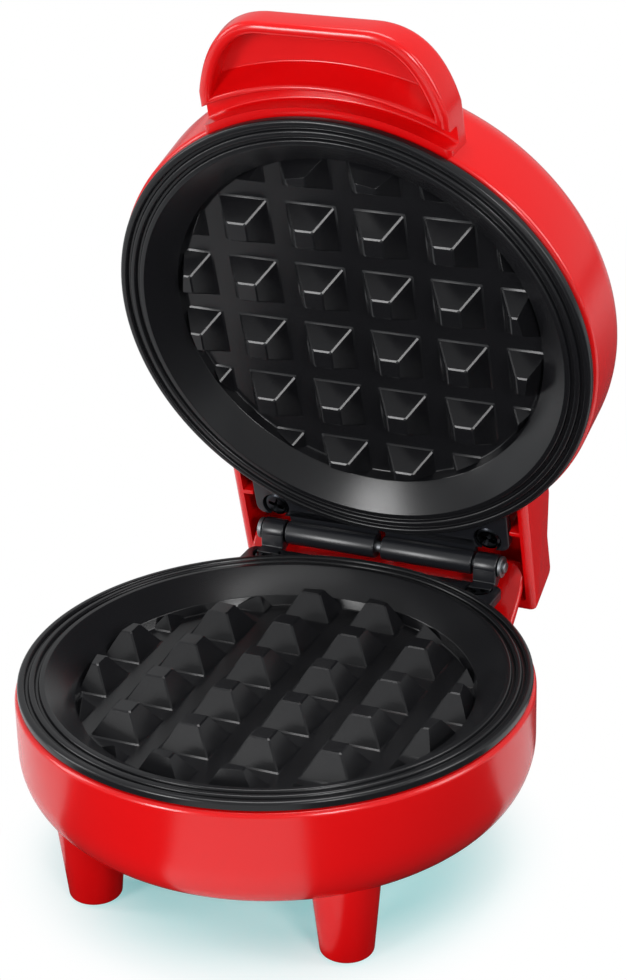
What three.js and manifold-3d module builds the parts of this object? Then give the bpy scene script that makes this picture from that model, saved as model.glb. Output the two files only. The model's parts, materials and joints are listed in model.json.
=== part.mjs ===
// Mini waffle maker: a red base on four legs and a red lid, joined by a hinge at the back,
// each with a black grid plate. It stands on its feet with the lid open.
// Millimetres, +Z up, front towards -Y, right-hand side towards +X.
import * as THREE from 'three';
import { mergeVertices } from 'three/addons/utils/BufferGeometryUtils.js';
import Module from 'manifold-3d';

const wasm = await Module();
wasm.setup();

// Clearances
const seatGap = 0.3;
const closedGap = 0.6;
const pinGap = 0.15;
const knuckleGap = 0.6;
const sideGap = 0.5;
const apronGap = 1.6;
const overrun = 1;
const mergeTolerance = 1e-5;

// Casings: both halves are round bowls with an elliptical corner
const casingRadius = 60;
const casingWall = 2.4;
const baseDepth = 32.2;
const lidDepth = 30.8;
const baseStraight = 16.2;
const lidStraight = 16.8;
const cornerReach = 18;
const lidCrown = 0.8;
const baseCrown = 0;
const rimRound = 1.4;
const ledgeThickness = 2;

// Grid plates
const plateInset = 0.7;
const plateWall = 2.4;
const flangeThickness = 2;
const flangeRound = 0.8;
const rimWidth = 6.3;
const grooveWidth = 1.2;
const grooveDepth = 0.9;
const grooveSlope = 0.3;
const beadWidth = 1.15;
const grooveCount = 2;
const marginReach = 6.7;
const marginDepth = 5.4;
const bedDepth = 7.8;
const bedDraft = 0.8;
const knobInset = 1.5;
const knobPitch = 17.1;
const knobBase = 12.3;
const knobTip = 4.9;
const knobTipDepth = 1.9;
const knobRows = 6;
const knobSides = 4;

// Legs and feet
const legHeight = 16;
const legRootRise = 7;
const legSpanShareX = 0.5233;
const legSpanShareY = 0.5767;
const legRadius = 8.3;
const legTipRadius = 6.1;
const legTipRound = 1.6;
const padRadius = 4.2;
const padThickness = 2;
const padProud = 0.6;

// Hinge: brackets under the plates carry barrels and knuckles on one steel pin
const hingeReach = 4.7;
const hingeRise = 0.9;
const barrelRadius = 3;
const barrelHalfGap = 0.9;
const bracketSpanShare = 0.5667;
const knuckleLength = 5.9;
const knuckleFoot = 1.6;
const pinRadius = 1.5;
const pinHeadRadius = 2.7;
const pinHeadLength = 1.1;
const clipThickness = 0.8;
const openAngle = THREE.MathUtils.degToRad(74.8);
const bracketMargin = 2.5;
const bracketThickness = 2.6;
const bracketCornerRadius = 2.5;
const bracketScrewMargin = 5.6;
const bracketScrewInset = 3.1;

// Hinge housing on the lid and hinge apron on the base
const apronMargin = 2.4;
const apronTopDrop = 2;
const apronFootDrop = 18.4;
const apronBendDrop = 12.8;
const apronBendInset = 0.6;
const apronCornerRadius = 5;
const apronLipShares = [0.5, 0.25];
const apronBendShare = 0.8;
const housingOverhang = 15;
const housingHeight = 16.2;
const housingDraft = 2.3;
const housingEdgeRadius = 3;
const housingSideRound = 1.2;
const housingShoulderInset = 6;
const housingShoulderHeight = 20;
const housingRibInset = 5.5;
const housingRibWidth = 1.2;

// Handle: a tab moulded on the front of the lid with a finger pocket underneath
const handleReach = 21;
const handleRootInset = 10;
const handleRootShare = 0.5167;
const handleShoulderShare = 0.5133;
const handleShoulderReach = 2;
const handleCornerShare = 0.3933;
const handleFrontShare = 0.2083;
const handleTop = 12.2;
const handleEdge = 1.8;
const handleWall = 2.2;
const handleCheek = 3.8;
const handleRoof = 2.5;
const grooveInner = 1.2;
const grooveOuter = 5.2;
const grooveRoof = 5.6;
const pocketInner = 6.8;
const pocketCrease = 9.8;
const pocketCreaseDrop = 1.4;

// Heating elements and reflectors
const heaterTubeRadius = 3.3;
const heaterRingInset = 12.5;
const heaterGapHalfAngle = THREE.MathUtils.degToRad(26);
const heaterEndShare = 0.012;
const terminalRadius = 1.1;
const terminalLength = 9.5;
const terminalHoleRadius = 3;
const reflectorThickness = 0.8;
const reflectorInset = 4.5;
const reflectorRimHeight = 4;
const reflectorHoleRadius = 10;

// Small screws and their bosses
const reflectorScrewCircleShare = 0.44;
const reflectorScrewAngles = [90, 210, 330];
const bossRadius = 3.4;
const screwShankRadius = 1.25;
const screwHeadRadius = 2.9;
const screwHeadHeight = 1.9;
const screwHoleDepth = 5.5;
const screwHoleGap = 0.3;
const bracketHeadRadius = 3.3;
const bracketHeadHeight = 1.6;
const bracketShankLength = 8;
const crossWidth = 0.9;
const crossLength = 3.8;
const crossDepth = 0.9;
const panHeadShares = [0.8, 0.3];

// Pillars that hold the plates in the casings
const pillarInset = 10;
const pillarAngles = [-90, 30, 150];
const pillarRadius = 4.6;
const pillarBossLength = 4;
const pillarBoreRadius = 1.7;
const pillarScrewHeadRadius = 3.2;
const pillarScrewHeadHeight = 2.2;
const pillarScrewSeat = 6.5;
const pillarPinRadius = 1.4;
const pillarPinLength = 4;
const pillarHoleDepth = 5.2;

// Electrical pieces
const thermostatRadius = 8;
const thermostatHeight = 6.4;
const thermostatCapRadius = 6.2;
const thermostatCapHeight = 2.4;
const bladeWidth = 4.8;
const bladeThickness = 0.8;
const bladeHeight = 3.4;
const bladeOffset = 3.4;
const fuseRadius = 2.1;
const fuseLength = 13;
const fuseLeadRadius = 0.6;
const fuseLeadLength = 6;
const terminalBlockLength = 26;
const terminalBlockWidth = 11;
const terminalBlockHeightShare = 0.88;
const terminalBlockReachShare = 0.3;
const terminalCellShare = 0.26;
const terminalCellPitch = 8;
const lensRadius = 4.2;
const lensReachShare = 0.4;
const lensCrownShares = [0.6, 0.8];
const lensRise = 0.8;
const lensFlangeRadius = 5.8;
const lensFlangeThickness = 1;
const lensSleeveShare = 0.45;
const lampRadius = 2.4;
const lampLengthShare = 0.75;
const lampDomeRise = 1.2;
const lampCrownShares = [0.7, 0.4];

// Cord inlet: a rubber bush in a round boss at the back of the base
const inletDrop = 23.4;
const inletBossRadius = 6.6;
const inletBossProud = 0.8;
const inletDepth = 9;
const bushRadius = 4.2;
const bushFlangeRadius = 5.6;
const bushFlangeThickness = 1.6;
const bushBore = 2.6;
const bushNoseLength = 4;

// Faceting
const casingSegments = 40;
const plateSegments = 40;
const knobFieldSegments = 20;
const cornerSteps = 4;
const hiddenCornerSteps = 3;
const barrelSegments = 14;
const padSegments = 12;
const smallSegments = 10;
const hiddenSegments = 8;
const reflectorSegments = 24;
const heaterSteps = 14;
const heaterTubeSegments = 4;
const handleSteps = 8;
const handleEdgeSteps = 2;
const roundMiddleShare = 1 - Math.SQRT1_2;

// Places that follow from the sizes above
const partingHeight = legHeight + baseDepth;
const plateTop = closedGap / 2;
const flangeBottom = plateTop + flangeThickness;
const rimDrop = flangeBottom + seatGap;
const plateRadius = casingRadius - plateInset;
const cavityRadius = plateRadius - rimWidth;
const bedMouthRadius = cavityRadius - marginReach;
const bedRadius = bedMouthRadius - bedDraft;
const plateBottom = bedDepth + plateWall;
const marginAngle = Math.atan2(marginDepth - plateTop, marginReach);
const skirtX = plateWall * Math.sin(marginAngle);
const skirtH = plateWall * Math.cos(marginAngle);
const skirtMouth = cavityRadius + skirtX - (flangeBottom - plateTop - skirtH) / Math.tan(marginAngle);
const ledgeRadius = skirtMouth + seatGap;
const innerRadius = casingRadius - casingWall;
const hingeY = casingRadius + hingeReach;
const hingeZ = partingHeight + hingeRise;
const bracketHalf = casingRadius * bracketSpanShare;
const knuckleEnd = bracketHalf - bracketMargin;
const knuckleStart = knuckleEnd - knuckleLength;
const barrelEnd = knuckleStart - knuckleGap;
const bracketScrewX = bracketHalf - bracketScrewMargin;
const bracketFace = flangeBottom + seatGap;
const bracketDepth = bracketFace + bracketThickness;
const bracketBackY = hingeY - barrelRadius - sideGap;
const bracketScrewY = bracketBackY - bracketScrewInset;
const apronHalf = bracketHalf + apronMargin;
const housingInnerHalf = apronHalf + sideGap;
const housingHalf = housingInnerHalf + casingWall;
const housingBackY = hingeY + housingOverhang;
const housingFrontY = casingRadius - cornerReach;
const housingShoulderY = casingRadius - housingShoulderInset;
const housingRibY = casingRadius - housingRibInset;
const heaterLevel = plateBottom + seatGap + heaterTubeRadius;
const heaterRingRadius = bedRadius - heaterRingInset;
const reflectorRadius = bedRadius - reflectorInset;
const reflectorLevel = heaterLevel + heaterTubeRadius + seatGap;
const reflectorBack = reflectorLevel + reflectorThickness + seatGap;
const legHalfSpanX = casingRadius * legSpanShareX;
const legHalfSpanY = casingRadius * legSpanShareY;
const lensY = -casingRadius * lensReachShare;
const lensFlangeTop = lidDepth - casingWall - lidCrown - seatGap;
const lampRoom = lensFlangeTop - reflectorBack;
const onCircle = (radius, degrees) => degrees.map(THREE.MathUtils.degToRad)
  .map((angle) => [radius * Math.cos(angle), radius * Math.sin(angle)]);
const pillarPlaces = onCircle(casingRadius - pillarInset, pillarAngles);
const reflectorScrewPlaces = onCircle(bedRadius * reflectorScrewCircleShare, reflectorScrewAngles);
const bracketScrewPlaces = [[-bracketScrewX, bracketScrewY], [bracketScrewX, bracketScrewY]];
const pillarBossEnd = plateBottom + pillarBossLength;

// Materials
const material = (color, roughness, metalness = 0) =>
  new THREE.MeshStandardMaterial({ color, roughness, metalness });
const redPlastic = material(0xd80f12, 0.2);
const blackPlate = material(0x1b1b1d, 0.42);
const blackMetal = material(0x202225, 0.38, 0.2);
const steel = material(0xb4b7ba, 0.3, 1);
const heaterMetal = material(0x77777a, 0.45, 1);
const tinplate = material(0xc9ccce, 0.35, 1);
const rubber = material(0x232323, 0.85);
const nylon = material(0xe6e0d2, 0.5);
const amber = material(0xf08c28, 0.15);
const glass = material(0xdce6ea, 0.1);

// Solid modelling helpers
function facingOut(geometry) {
  const bare = geometry.clone();
  bare.deleteAttribute('normal');
  bare.deleteAttribute('uv');
  const merged = mergeVertices(bare, mergeTolerance);
  const places = merged.attributes.position;
  const corners = [];
  const a = new THREE.Vector3();
  const b = new THREE.Vector3();
  const c = new THREE.Vector3();
  let volume = 0;
  for (let i = 0; i < merged.index.count; i += 3) {
    const three = [0, 1, 2].map((k) => merged.index.getX(i + k));
    if (new Set(three).size < 3) continue;
    corners.push(...three);
    a.fromBufferAttribute(places, three[0]);
    b.fromBufferAttribute(places, three[1]);
    c.fromBufferAttribute(places, three[2]);
    volume += a.dot(b.cross(c));
  }
  if (volume < 0) corners.reverse();
  merged.setIndex(corners);
  merged.computeVertexNormals();
  return merged;
}

function solid(geometry) {
  const closed = facingOut(geometry);
  return new wasm.Manifold(new wasm.Mesh({
    numProp: 3,
    vertProperties: new Float32Array(closed.attributes.position.array),
    triVerts: new Uint32Array(closed.index.array),
  }));
}

function surface(manifold) {
  const mesh = manifold.getMesh();
  const geometry = new THREE.BufferGeometry();
  geometry.setAttribute('position', new THREE.BufferAttribute(mesh.vertProperties, mesh.numProp));
  geometry.setIndex(new THREE.BufferAttribute(mesh.triVerts, 1));
  geometry.computeVertexNormals();
  return geometry;
}

function joined(solids) {
  return solids.reduce((whole, piece) => whole.add(piece));
}

// A profile of (radius, height) pairs turned round the upright axis
function turned(profile, segments = smallSegments) {
  const points = profile.map(([radius, height]) => new THREE.Vector2(radius, height));
  return facingOut(new THREE.LatheGeometry(points, segments).rotateX(Math.PI / 2));
}

function disc(radius, from, to, segments = smallSegments) {
  return turned([[0, from], [radius, from], [radius, to], [0, to]], segments);
}

// Bosses, pillars and their holes inside the casings, with few facets
function hidden(radius, from, to) {
  return solid(disc(radius, from, to, hiddenSegments));
}

function ring(inner, outer, from, to, segments = smallSegments) {
  return turned([[inner, from], [outer, from], [outer, to], [inner, to], [inner, from]], segments);
}

// A plan outline of (x, y) raised between two heights
function raised(shape, from, to) {
  return new THREE.ExtrudeGeometry(shape, {
    depth: to - from,
    curveSegments: cornerSteps,
    bevelEnabled: false,
  }).translate(0, 0, from);
}

// A side profile of (y, z) extruded across the width, centred on x = 0
function acrossWidth(shape, halfWidth) {
  const toWidth = new THREE.Matrix4().makeBasis(
    new THREE.Vector3(0, 1, 0), new THREE.Vector3(0, 0, 1), new THREE.Vector3(1, 0, 0));
  return raised(shape, -halfWidth, halfWidth).applyMatrix4(toWidth);
}

// A rear-view outline of (x, z) extruded between two distances from the front
function facingBack(shape, from, to) {
  return raised(shape, -to, -from).rotateX(Math.PI / 2);
}

function block(x0, x1, y0, y1, z0, z1) {
  return new THREE.BoxGeometry(x1 - x0, y1 - y0, z1 - z0)
    .translate((x0 + x1) / 2, (y0 + y1) / 2, (z0 + z1) / 2);
}

function polygon(points) {
  return new THREE.Shape(points.map(([x, y]) => new THREE.Vector2(x, y)));
}

// A rounded path through (x, y) corners, each with its own radius
function roundedShape(corners) {
  const shape = new THREE.Shape();
  corners.forEach(([x, y, radius], i) => {
    const here = new THREE.Vector2(x, y);
    const before = corners[(i + corners.length - 1) % corners.length];
    const after = corners[(i + 1) % corners.length];
    const back = new THREE.Vector2(before[0], before[1]).sub(here).setLength(radius || 0).add(here);
    const ahead = new THREE.Vector2(after[0], after[1]).sub(here).setLength(radius || 0).add(here);
    if (i === 0) shape.moveTo(back.x, back.y);
    else shape.lineTo(back.x, back.y);
    if (radius) shape.quadraticCurveTo(x, y, ahead.x, ahead.y);
  });
  shape.closePath();
  return shape;
}

// The elliptical corner of a casing, from its straight wall to its crown
function cornerPoints(radius, reach, straight, depth, steps) {
  const points = [];
  for (let i = 0; i <= steps; i += 1) {
    const angle = (Math.PI / 2) * (i / steps);
    points.push([radius - reach + reach * Math.cos(angle), straight + (depth - straight) * Math.sin(angle)]);
  }
  return points;
}

// A casing half is written as a bowl over the parting plane, with its depth along +Z
function casingBody(depth, straight, crown) {
  const rimArc = [0, 1, 2].map((step) => {
    const angle = (Math.PI / 4) * step;
    return [
      casingRadius - rimRound + rimRound * Math.sin(angle),
      rimDrop + rimRound - rimRound * Math.cos(angle),
    ];
  });
  return solid(turned([
    [0, rimDrop],
    ...rimArc,
    ...cornerPoints(casingRadius, cornerReach, straight, depth - crown, cornerSteps),
    [0, depth],
  ], casingSegments));
}

function casingCavity(depth, straight, crown) {
  const reach = cornerReach - casingWall;
  return solid(turned([
    [0, -overrun],
    [casingRadius - rimRound, -overrun],
    [casingRadius - rimRound, rimDrop],
    [ledgeRadius, rimDrop],
    [ledgeRadius, rimDrop + ledgeThickness],
    [innerRadius, rimDrop + ledgeThickness],
    ...cornerPoints(innerRadius, reach, straight, depth - casingWall - crown, hiddenCornerSteps),
    [0, depth - casingWall],
  ], casingSegments));
}

function atPillars(build) {
  return joined(pillarPlaces.map(([x, y]) => build().translate([x, y, 0])));
}

function atScrews(build) {
  return joined(reflectorScrewPlaces.map(([x, y]) => build().translate([x, y, 0])));
}

function atBracketScrews(build) {
  return joined(bracketScrewPlaces.map(([x, y]) => build().translate([x, y, 0])));
}

// Grid plate: flange, two rim grooves, a sloping margin and a sunken bed full of knobs.
// The bed opens towards -Z, so the same plate serves the lid as it is and the base turned over.
function gridPlate() {
  const grooves = [];
  for (let i = 0; i < grooveCount; i += 1) {
    const inner = cavityRadius + beadWidth + i * (grooveWidth + beadWidth);
    grooves.push(
      [inner, plateTop],
      [inner + grooveSlope, plateTop + grooveDepth],
      [inner + grooveWidth - grooveSlope, plateTop + grooveDepth],
      [inner + grooveWidth, plateTop],
    );
  }
  const body = solid(turned([
    [0, plateTop],
    ...grooves,
    [plateRadius - flangeRound, plateTop],
    [plateRadius - flangeRound * roundMiddleShare, plateTop + flangeRound * roundMiddleShare],
    [plateRadius, plateTop + flangeRound],
    [plateRadius, flangeBottom],
    [skirtMouth, flangeBottom],
    [bedMouthRadius + skirtX, marginDepth + skirtH],
    [bedMouthRadius + skirtX, plateBottom],
    [0, plateBottom],
  ], plateSegments));
  const cavity = solid(turned([
    [0, plateTop - overrun],
    [cavityRadius, plateTop - overrun],
    [cavityRadius, plateTop],
    [bedMouthRadius, marginDepth],
    [bedRadius, bedDepth],
    [0, bedDepth],
  ], plateSegments));
  const pillarBosses = atPillars(() => hidden(bossRadius, plateTop + overrun, pillarBossEnd));
  const screwBosses = atScrews(() => hidden(bossRadius, bedDepth, reflectorLevel - seatGap));
  const pillarHoles = atPillars(() => hidden(pillarBoreRadius, pillarBossEnd - pillarHoleDepth,
    pillarBossEnd + overrun));
  const screwHoles = atScrews(() => hidden(screwShankRadius + screwHoleGap,
    reflectorLevel - screwHoleDepth, reflectorLevel + overrun));
  return surface(joined([body, pillarBosses, screwBosses])
    .subtract(cavity).subtract(pillarHoles).subtract(screwHoles)
    .add(knobField()));
}

// Truncated pyramids in square rows, trimmed to a circle just inside the bed
function knobField() {
  const height = bedDepth - knobTipDepth + overrun;
  const spread = knobBase + (knobBase - knobTip) * overrun / (bedDepth - knobTipDepth);
  const knob = new THREE.CylinderGeometry(spread / Math.SQRT2, knobTip / Math.SQRT2, height, knobSides)
    .rotateY(Math.PI / knobSides)
    .rotateX(Math.PI / 2)
    .translate(0, 0, knobTipDepth + height / 2);
  const knobs = [];
  for (let row = 0; row < knobRows; row += 1) {
    for (let column = 0; column < knobRows; column += 1) {
      const x = (column - (knobRows - 1) / 2) * knobPitch;
      const y = (row - (knobRows - 1) / 2) * knobPitch;
      const nearest = Math.hypot(Math.abs(x) - knobBase / 2, Math.abs(y) - knobBase / 2);
      if (nearest < bedRadius - knobInset) knobs.push(solid(knob.clone().translate(x, y, 0)));
    }
  }
  const field = solid(disc(bedRadius - knobInset, 0, bedDepth + overrun / 2, knobFieldSegments));
  return joined(knobs).intersect(field);
}

// Tubular heating element: an open ring whose cold ends rise through the reflector
class HeaterPath extends THREE.Curve {
  getPoint(share, target = new THREE.Vector3()) {
    const start = Math.PI / 2 + heaterGapHalfAngle;
    const angle = start + share * 2 * (Math.PI - heaterGapHalfAngle);
    return target.set(heaterRingRadius * Math.cos(angle), heaterRingRadius * Math.sin(angle), heaterLevel);
  }
}

function atHeaterEnds(build) {
  const path = new HeaterPath();
  return joined([heaterEndShare, 1 - heaterEndShare].map((share) => path.getPoint(share))
    .map((end) => build().translate([end.x, end.y, 0])));
}

function heater() {
  const section = new THREE.Shape().absarc(0, 0, heaterTubeRadius, 0, 2 * Math.PI);
  const tube = new THREE.ExtrudeGeometry(section, {
    steps: heaterSteps,
    curveSegments: heaterTubeSegments,
    extrudePath: new HeaterPath(),
  });
  return surface(solid(tube).add(atHeaterEnds(() =>
    hidden(terminalRadius, heaterLevel, heaterLevel + terminalLength))));
}

// Reflector: a thin steel dish behind the element that keeps the heat off the casing
function reflector() {
  const dish = solid(turned([
    [reflectorHoleRadius, reflectorLevel],
    [reflectorRadius, reflectorLevel],
    [reflectorRadius, reflectorLevel - reflectorRimHeight],
    [reflectorRadius + reflectorThickness, reflectorLevel - reflectorRimHeight],
    [reflectorRadius + reflectorThickness, reflectorLevel + reflectorThickness],
    [reflectorHoleRadius, reflectorLevel + reflectorThickness],
    [reflectorHoleRadius, reflectorLevel],
  ], reflectorSegments));
  const terminals = atHeaterEnds(() => hidden(terminalHoleRadius, 0, reflectorLevel + 2 * overrun));
  const screws = atScrews(() => hidden(screwShankRadius + screwHoleGap, 0, reflectorLevel + 2 * overrun));
  return surface(dish.subtract(terminals).subtract(screws));
}

function reflectorScrew() {
  const seat = reflectorBack;
  return turned([
    [0, reflectorLevel - screwHoleDepth + seatGap],
    [screwShankRadius, reflectorLevel - screwHoleDepth + seatGap],
    [screwShankRadius, seat],
    [screwHeadRadius, seat],
    [screwHeadRadius, seat + screwHeadHeight / 2],
    [screwHeadRadius / 2, seat + screwHeadHeight],
    [0, seat + screwHeadHeight],
  ], hiddenSegments);
}

// Hinge bracket in plan: it follows the round plate in front and stops short of the barrels
function bracketPlan(clearRadius) {
  const shape = new THREE.Shape();
  const startAngle = Math.acos(bracketHalf / clearRadius);
  shape.moveTo(bracketHalf, clearRadius * Math.sin(startAngle));
  shape.lineTo(bracketHalf, bracketBackY - bracketCornerRadius);
  shape.quadraticCurveTo(bracketHalf, bracketBackY, bracketHalf - bracketCornerRadius, bracketBackY);
  shape.lineTo(bracketCornerRadius - bracketHalf, bracketBackY);
  shape.quadraticCurveTo(-bracketHalf, bracketBackY, -bracketHalf, bracketBackY - bracketCornerRadius);
  shape.lineTo(-bracketHalf, clearRadius * Math.sin(startAngle));
  shape.absarc(0, 0, clearRadius, Math.PI - startAngle, startAngle, true);
  return shape;
}

function bracketPlate() {
  return solid(raised(bracketPlan(ledgeRadius), bracketFace, bracketDepth));
}

function bracketScrewHoles() {
  const seat = bracketFace + bracketHeadHeight + seatGap;
  return atBracketScrews(() => joined([
    solid(disc(bracketHeadRadius + seatGap, bracketFace - overrun, seat)),
    solid(disc(screwShankRadius + screwHoleGap, bracketFace, bracketDepth + overrun)),
  ]));
}

// A barrel or knuckle round the hinge axis with the web that joins it to its bracket
function hingeBarrel(from, to, rise, web) {
  const side = new THREE.Shape();
  side.absarc(hingeY, rise, barrelRadius, 0, 2 * Math.PI);
  const half = (to - from) / 2;
  return joined([solid(acrossWidth(side, half)), solid(acrossWidth(polygon(web), half))])
    .translate([(from + to) / 2, 0, 0]);
}

function pinBore(rise) {
  const bore = new THREE.CylinderGeometry(
    pinRadius + pinGap, pinRadius + pinGap, 2 * bracketHalf, barrelSegments)
    .rotateZ(Math.PI / 2)
    .translate(0, hingeY, rise);
  return solid(bore);
}

function lidBracket() {
  const web = [
    [bracketBackY - bracketThickness, bracketFace],
    [hingeY, bracketFace],
    [hingeY, hingeRise + barrelRadius],
    [bracketBackY - bracketThickness, bracketDepth],
  ];
  const barrels = [
    hingeBarrel(-barrelEnd, -barrelHalfGap, hingeRise, web),
    hingeBarrel(barrelHalfGap, barrelEnd, hingeRise, web),
  ];
  return surface(joined([bracketPlate(), ...barrels])
    .subtract(bracketScrewHoles())
    .subtract(pinBore(hingeRise)));
}

// The base bracket is drawn over the parting plane too, and turned over by its group
function baseBracket() {
  const web = [
    [bracketBackY - bracketThickness, bracketFace],
    [hingeY - barrelRadius, bracketFace],
    [hingeY - barrelRadius, -hingeRise],
    [hingeY + barrelRadius, -hingeRise],
    [hingeY + knuckleFoot, bracketFace],
    [hingeY - barrelRadius, bracketDepth],
    [bracketBackY - bracketThickness, bracketDepth],
  ];
  const knuckles = [
    hingeBarrel(-knuckleEnd, -knuckleStart, -hingeRise, web),
    hingeBarrel(knuckleStart, knuckleEnd, -hingeRise, web),
  ];
  return surface(joined([bracketPlate(), ...knuckles])
    .subtract(bracketScrewHoles())
    .subtract(pinBore(-hingeRise)));
}

function bracketScrew() {
  const face = bracketFace + seatGap / 2;
  const cross = [[crossLength, crossWidth], [crossWidth, crossLength]].map(([along, over]) =>
    solid(block(-along / 2, along / 2, -over / 2, over / 2, face - overrun, face + crossDepth)));
  return surface(solid(turned([
    [0, face],
    [bracketHeadRadius * panHeadShares[0], face],
    [bracketHeadRadius, face + bracketHeadHeight * panHeadShares[1]],
    [bracketHeadRadius, face + bracketHeadHeight],
    [screwShankRadius, face + bracketHeadHeight],
    [screwShankRadius, face + bracketShankLength],
    [0, face + bracketShankLength],
  ])).subtract(joined(cross)));
}

function hingePin() {
  const half = knuckleEnd + seatGap;
  return turned([
    [0, -half - pinHeadLength],
    [pinHeadRadius, -half - pinHeadLength],
    [pinHeadRadius, -half],
    [pinRadius, -half],
    [pinRadius, half + clipThickness * 2],
    [0, half + clipThickness * 2],
  ], barrelSegments);
}

function hingeClip() {
  return ring(pinRadius + pinGap, pinHeadRadius, 0, clipThickness, barrelSegments);
}

// Lid casing: dome, handle in front, hinge housing at the back
function handleOutline(inset, sideInset) {
  const frontY = -(casingRadius + handleReach) + inset;
  const shoulderY = -(casingRadius + handleShoulderReach);
  const rootY = -(casingRadius - handleRootInset);
  const rootX = casingRadius * handleRootShare - sideInset;
  const shoulderX = casingRadius * handleShoulderShare - sideInset;
  const cornerX = casingRadius * handleCornerShare - inset;
  const frontX = casingRadius * handleFrontShare;
  const shape = new THREE.Shape();
  shape.moveTo(rootX, rootY);
  shape.lineTo(shoulderX, shoulderY);
  shape.quadraticCurveTo(cornerX, frontY, frontX, frontY);
  shape.lineTo(-frontX, frontY);
  shape.quadraticCurveTo(-cornerX, frontY, -shoulderX, shoulderY);
  shape.lineTo(-rootX, rootY);
  shape.closePath();
  return shape;
}

function handleBody() {
  return solid(new THREE.ExtrudeGeometry(handleOutline(0, 0), {
    depth: handleTop - rimDrop - 2 * handleEdge,
    curveSegments: handleSteps,
    bevelThickness: handleEdge,
    bevelSize: handleEdge,
    bevelOffset: -handleEdge,
    bevelSegments: handleEdgeSteps,
  }).translate(0, 0, rimDrop + handleEdge));
}

// The finger pocket slopes up from an inner lip to a crease and then runs flat to the front wall
function fingerPocket() {
  const roof = handleTop - handleRoof;
  const plan = solid(raised(handleOutline(handleWall, handleCheek), 0, roof + overrun));
  const outside = casingRadius + handleReach + overrun;
  const sweep = solid(turned([
    [casingRadius + pocketInner, -overrun],
    [casingRadius + pocketInner, rimDrop + overrun / 2],
    [casingRadius + pocketCrease, roof - pocketCreaseDrop],
    [outside, roof],
    [outside, -overrun],
    [casingRadius + pocketInner, -overrun],
  ], plateSegments));
  return plan.intersect(sweep);
}

function handleGroove() {
  const inner = casingRadius + grooveInner;
  const outer = casingRadius + grooveOuter;
  const groove = solid(ring(inner, outer, 0, grooveRoof, plateSegments));
  const front = solid(block(-casingRadius, casingRadius, -2 * outer, -casingRadius / 2, 0, grooveRoof));
  return groove.intersect(front);
}

// Hinge housing: its side profile trimmed by the rounded outline it shows from behind
function housingBlock(inset, bottom) {
  const back = housingBackY - inset;
  const top = housingHeight - inset;
  const edge = housingEdgeRadius - inset / 2;
  const front = housingFrontY;
  const shoulder = housingShoulderHeight - inset;
  const side = roundedShape([
    [front, bottom, 0],
    [back, bottom, inset ? 0 : housingSideRound],
    [back - housingDraft, top, edge],
    [hingeY, top, edge],
    [housingShoulderY, shoulder, edge],
    [front, shoulder, 0],
  ]);
  const half = housingHalf - inset;
  const outline = roundedShape([
    [-half, bottom, 0],
    [half, bottom, 0],
    [half, shoulder, edge],
    [-half, shoulder, edge],
  ]);
  const plan = roundedShape([
    [-half, front, 0],
    [half, front, 0],
    [half, back, edge],
    [-half, back, edge],
  ]);
  return solid(acrossWidth(side, half))
    .intersect(solid(facingBack(outline, front, back)))
    .intersect(solid(raised(plan, bottom, shoulder)));
}

function bracketPosts(from, to) {
  return atBracketScrews(() => hidden(bossRadius, from, to));
}

function bracketPostHoles() {
  return atBracketScrews(() => hidden(screwShankRadius + screwHoleGap,
    bracketDepth, bracketFace + bracketShankLength + overrun));
}

function lidShell() {
  const dome = casingBody(lidDepth, lidStraight, lidCrown);
  const housing = housingBlock(0, rimDrop);
  const ribs = [-1, 1].map((side) => solid(block(
    side < 0 ? -housingInnerHalf - overrun : bracketHalf + seatGap,
    side < 0 ? -bracketHalf - seatGap : housingInnerHalf + overrun,
    housingRibY, housingRibY + housingRibWidth, rimDrop, housingShoulderHeight)));
  const pillars = atPillars(() => joined([
    hidden(pillarRadius, pillarBossEnd + seatGap, lidDepth),
    hidden(pillarPinRadius, pillarBossEnd - pillarPinLength, pillarBossEnd + overrun),
  ]));
  const posts = bracketPosts(bracketDepth + seatGap, housingShoulderHeight);
  const outside = joined([dome, housing]);
  const lensHole = solid(disc(lensRadius + seatGap, 0, lidDepth + overrun, padSegments))
    .translate([0, lensY, 0]);
  return surface(outside.add(handleBody())
    .subtract(casingCavity(lidDepth, lidStraight, lidCrown))
    .subtract(housingBlock(casingWall, rimDrop - overrun * 2))
    .subtract(fingerPocket())
    .subtract(handleGroove())
    .add(joined([pillars, ...ribs, posts]).intersect(outside))
    .subtract(bracketPostHoles())
    .subtract(lensHole));
}

// Base casing: bowl, four hollow legs, hinge apron and cord inlet, drawn upright on its legs
function turnedOver(manifold) {
  return manifold.rotate([0, 180, 0]).translate([0, 0, partingHeight]);
}

function atLegs(build) {
  return joined([[-1, -1], [1, -1], [-1, 1], [1, 1]].map(([x, y]) =>
    build().translate([x * legHalfSpanX, y * legHalfSpanY, 0])));
}

function leg() {
  return solid(turned([
    [0, padProud],
    [legTipRadius - legTipRound, padProud],
    [legTipRadius - legTipRound * roundMiddleShare, padProud + legTipRound * roundMiddleShare],
    [legTipRadius, padProud + legTipRound],
    [legRadius, legHeight + legRootRise],
    [0, legHeight + legRootRise],
  ], padSegments));
}

function legHollow() {
  const floor = padThickness + padProud + casingWall;
  return solid(turned([
    [0, floor],
    [legTipRadius - casingWall, floor],
    [legRadius - casingWall, legHeight + legRootRise + overrun],
    [0, legHeight + legRootRise + overrun],
  ], hiddenSegments));
}

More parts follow.
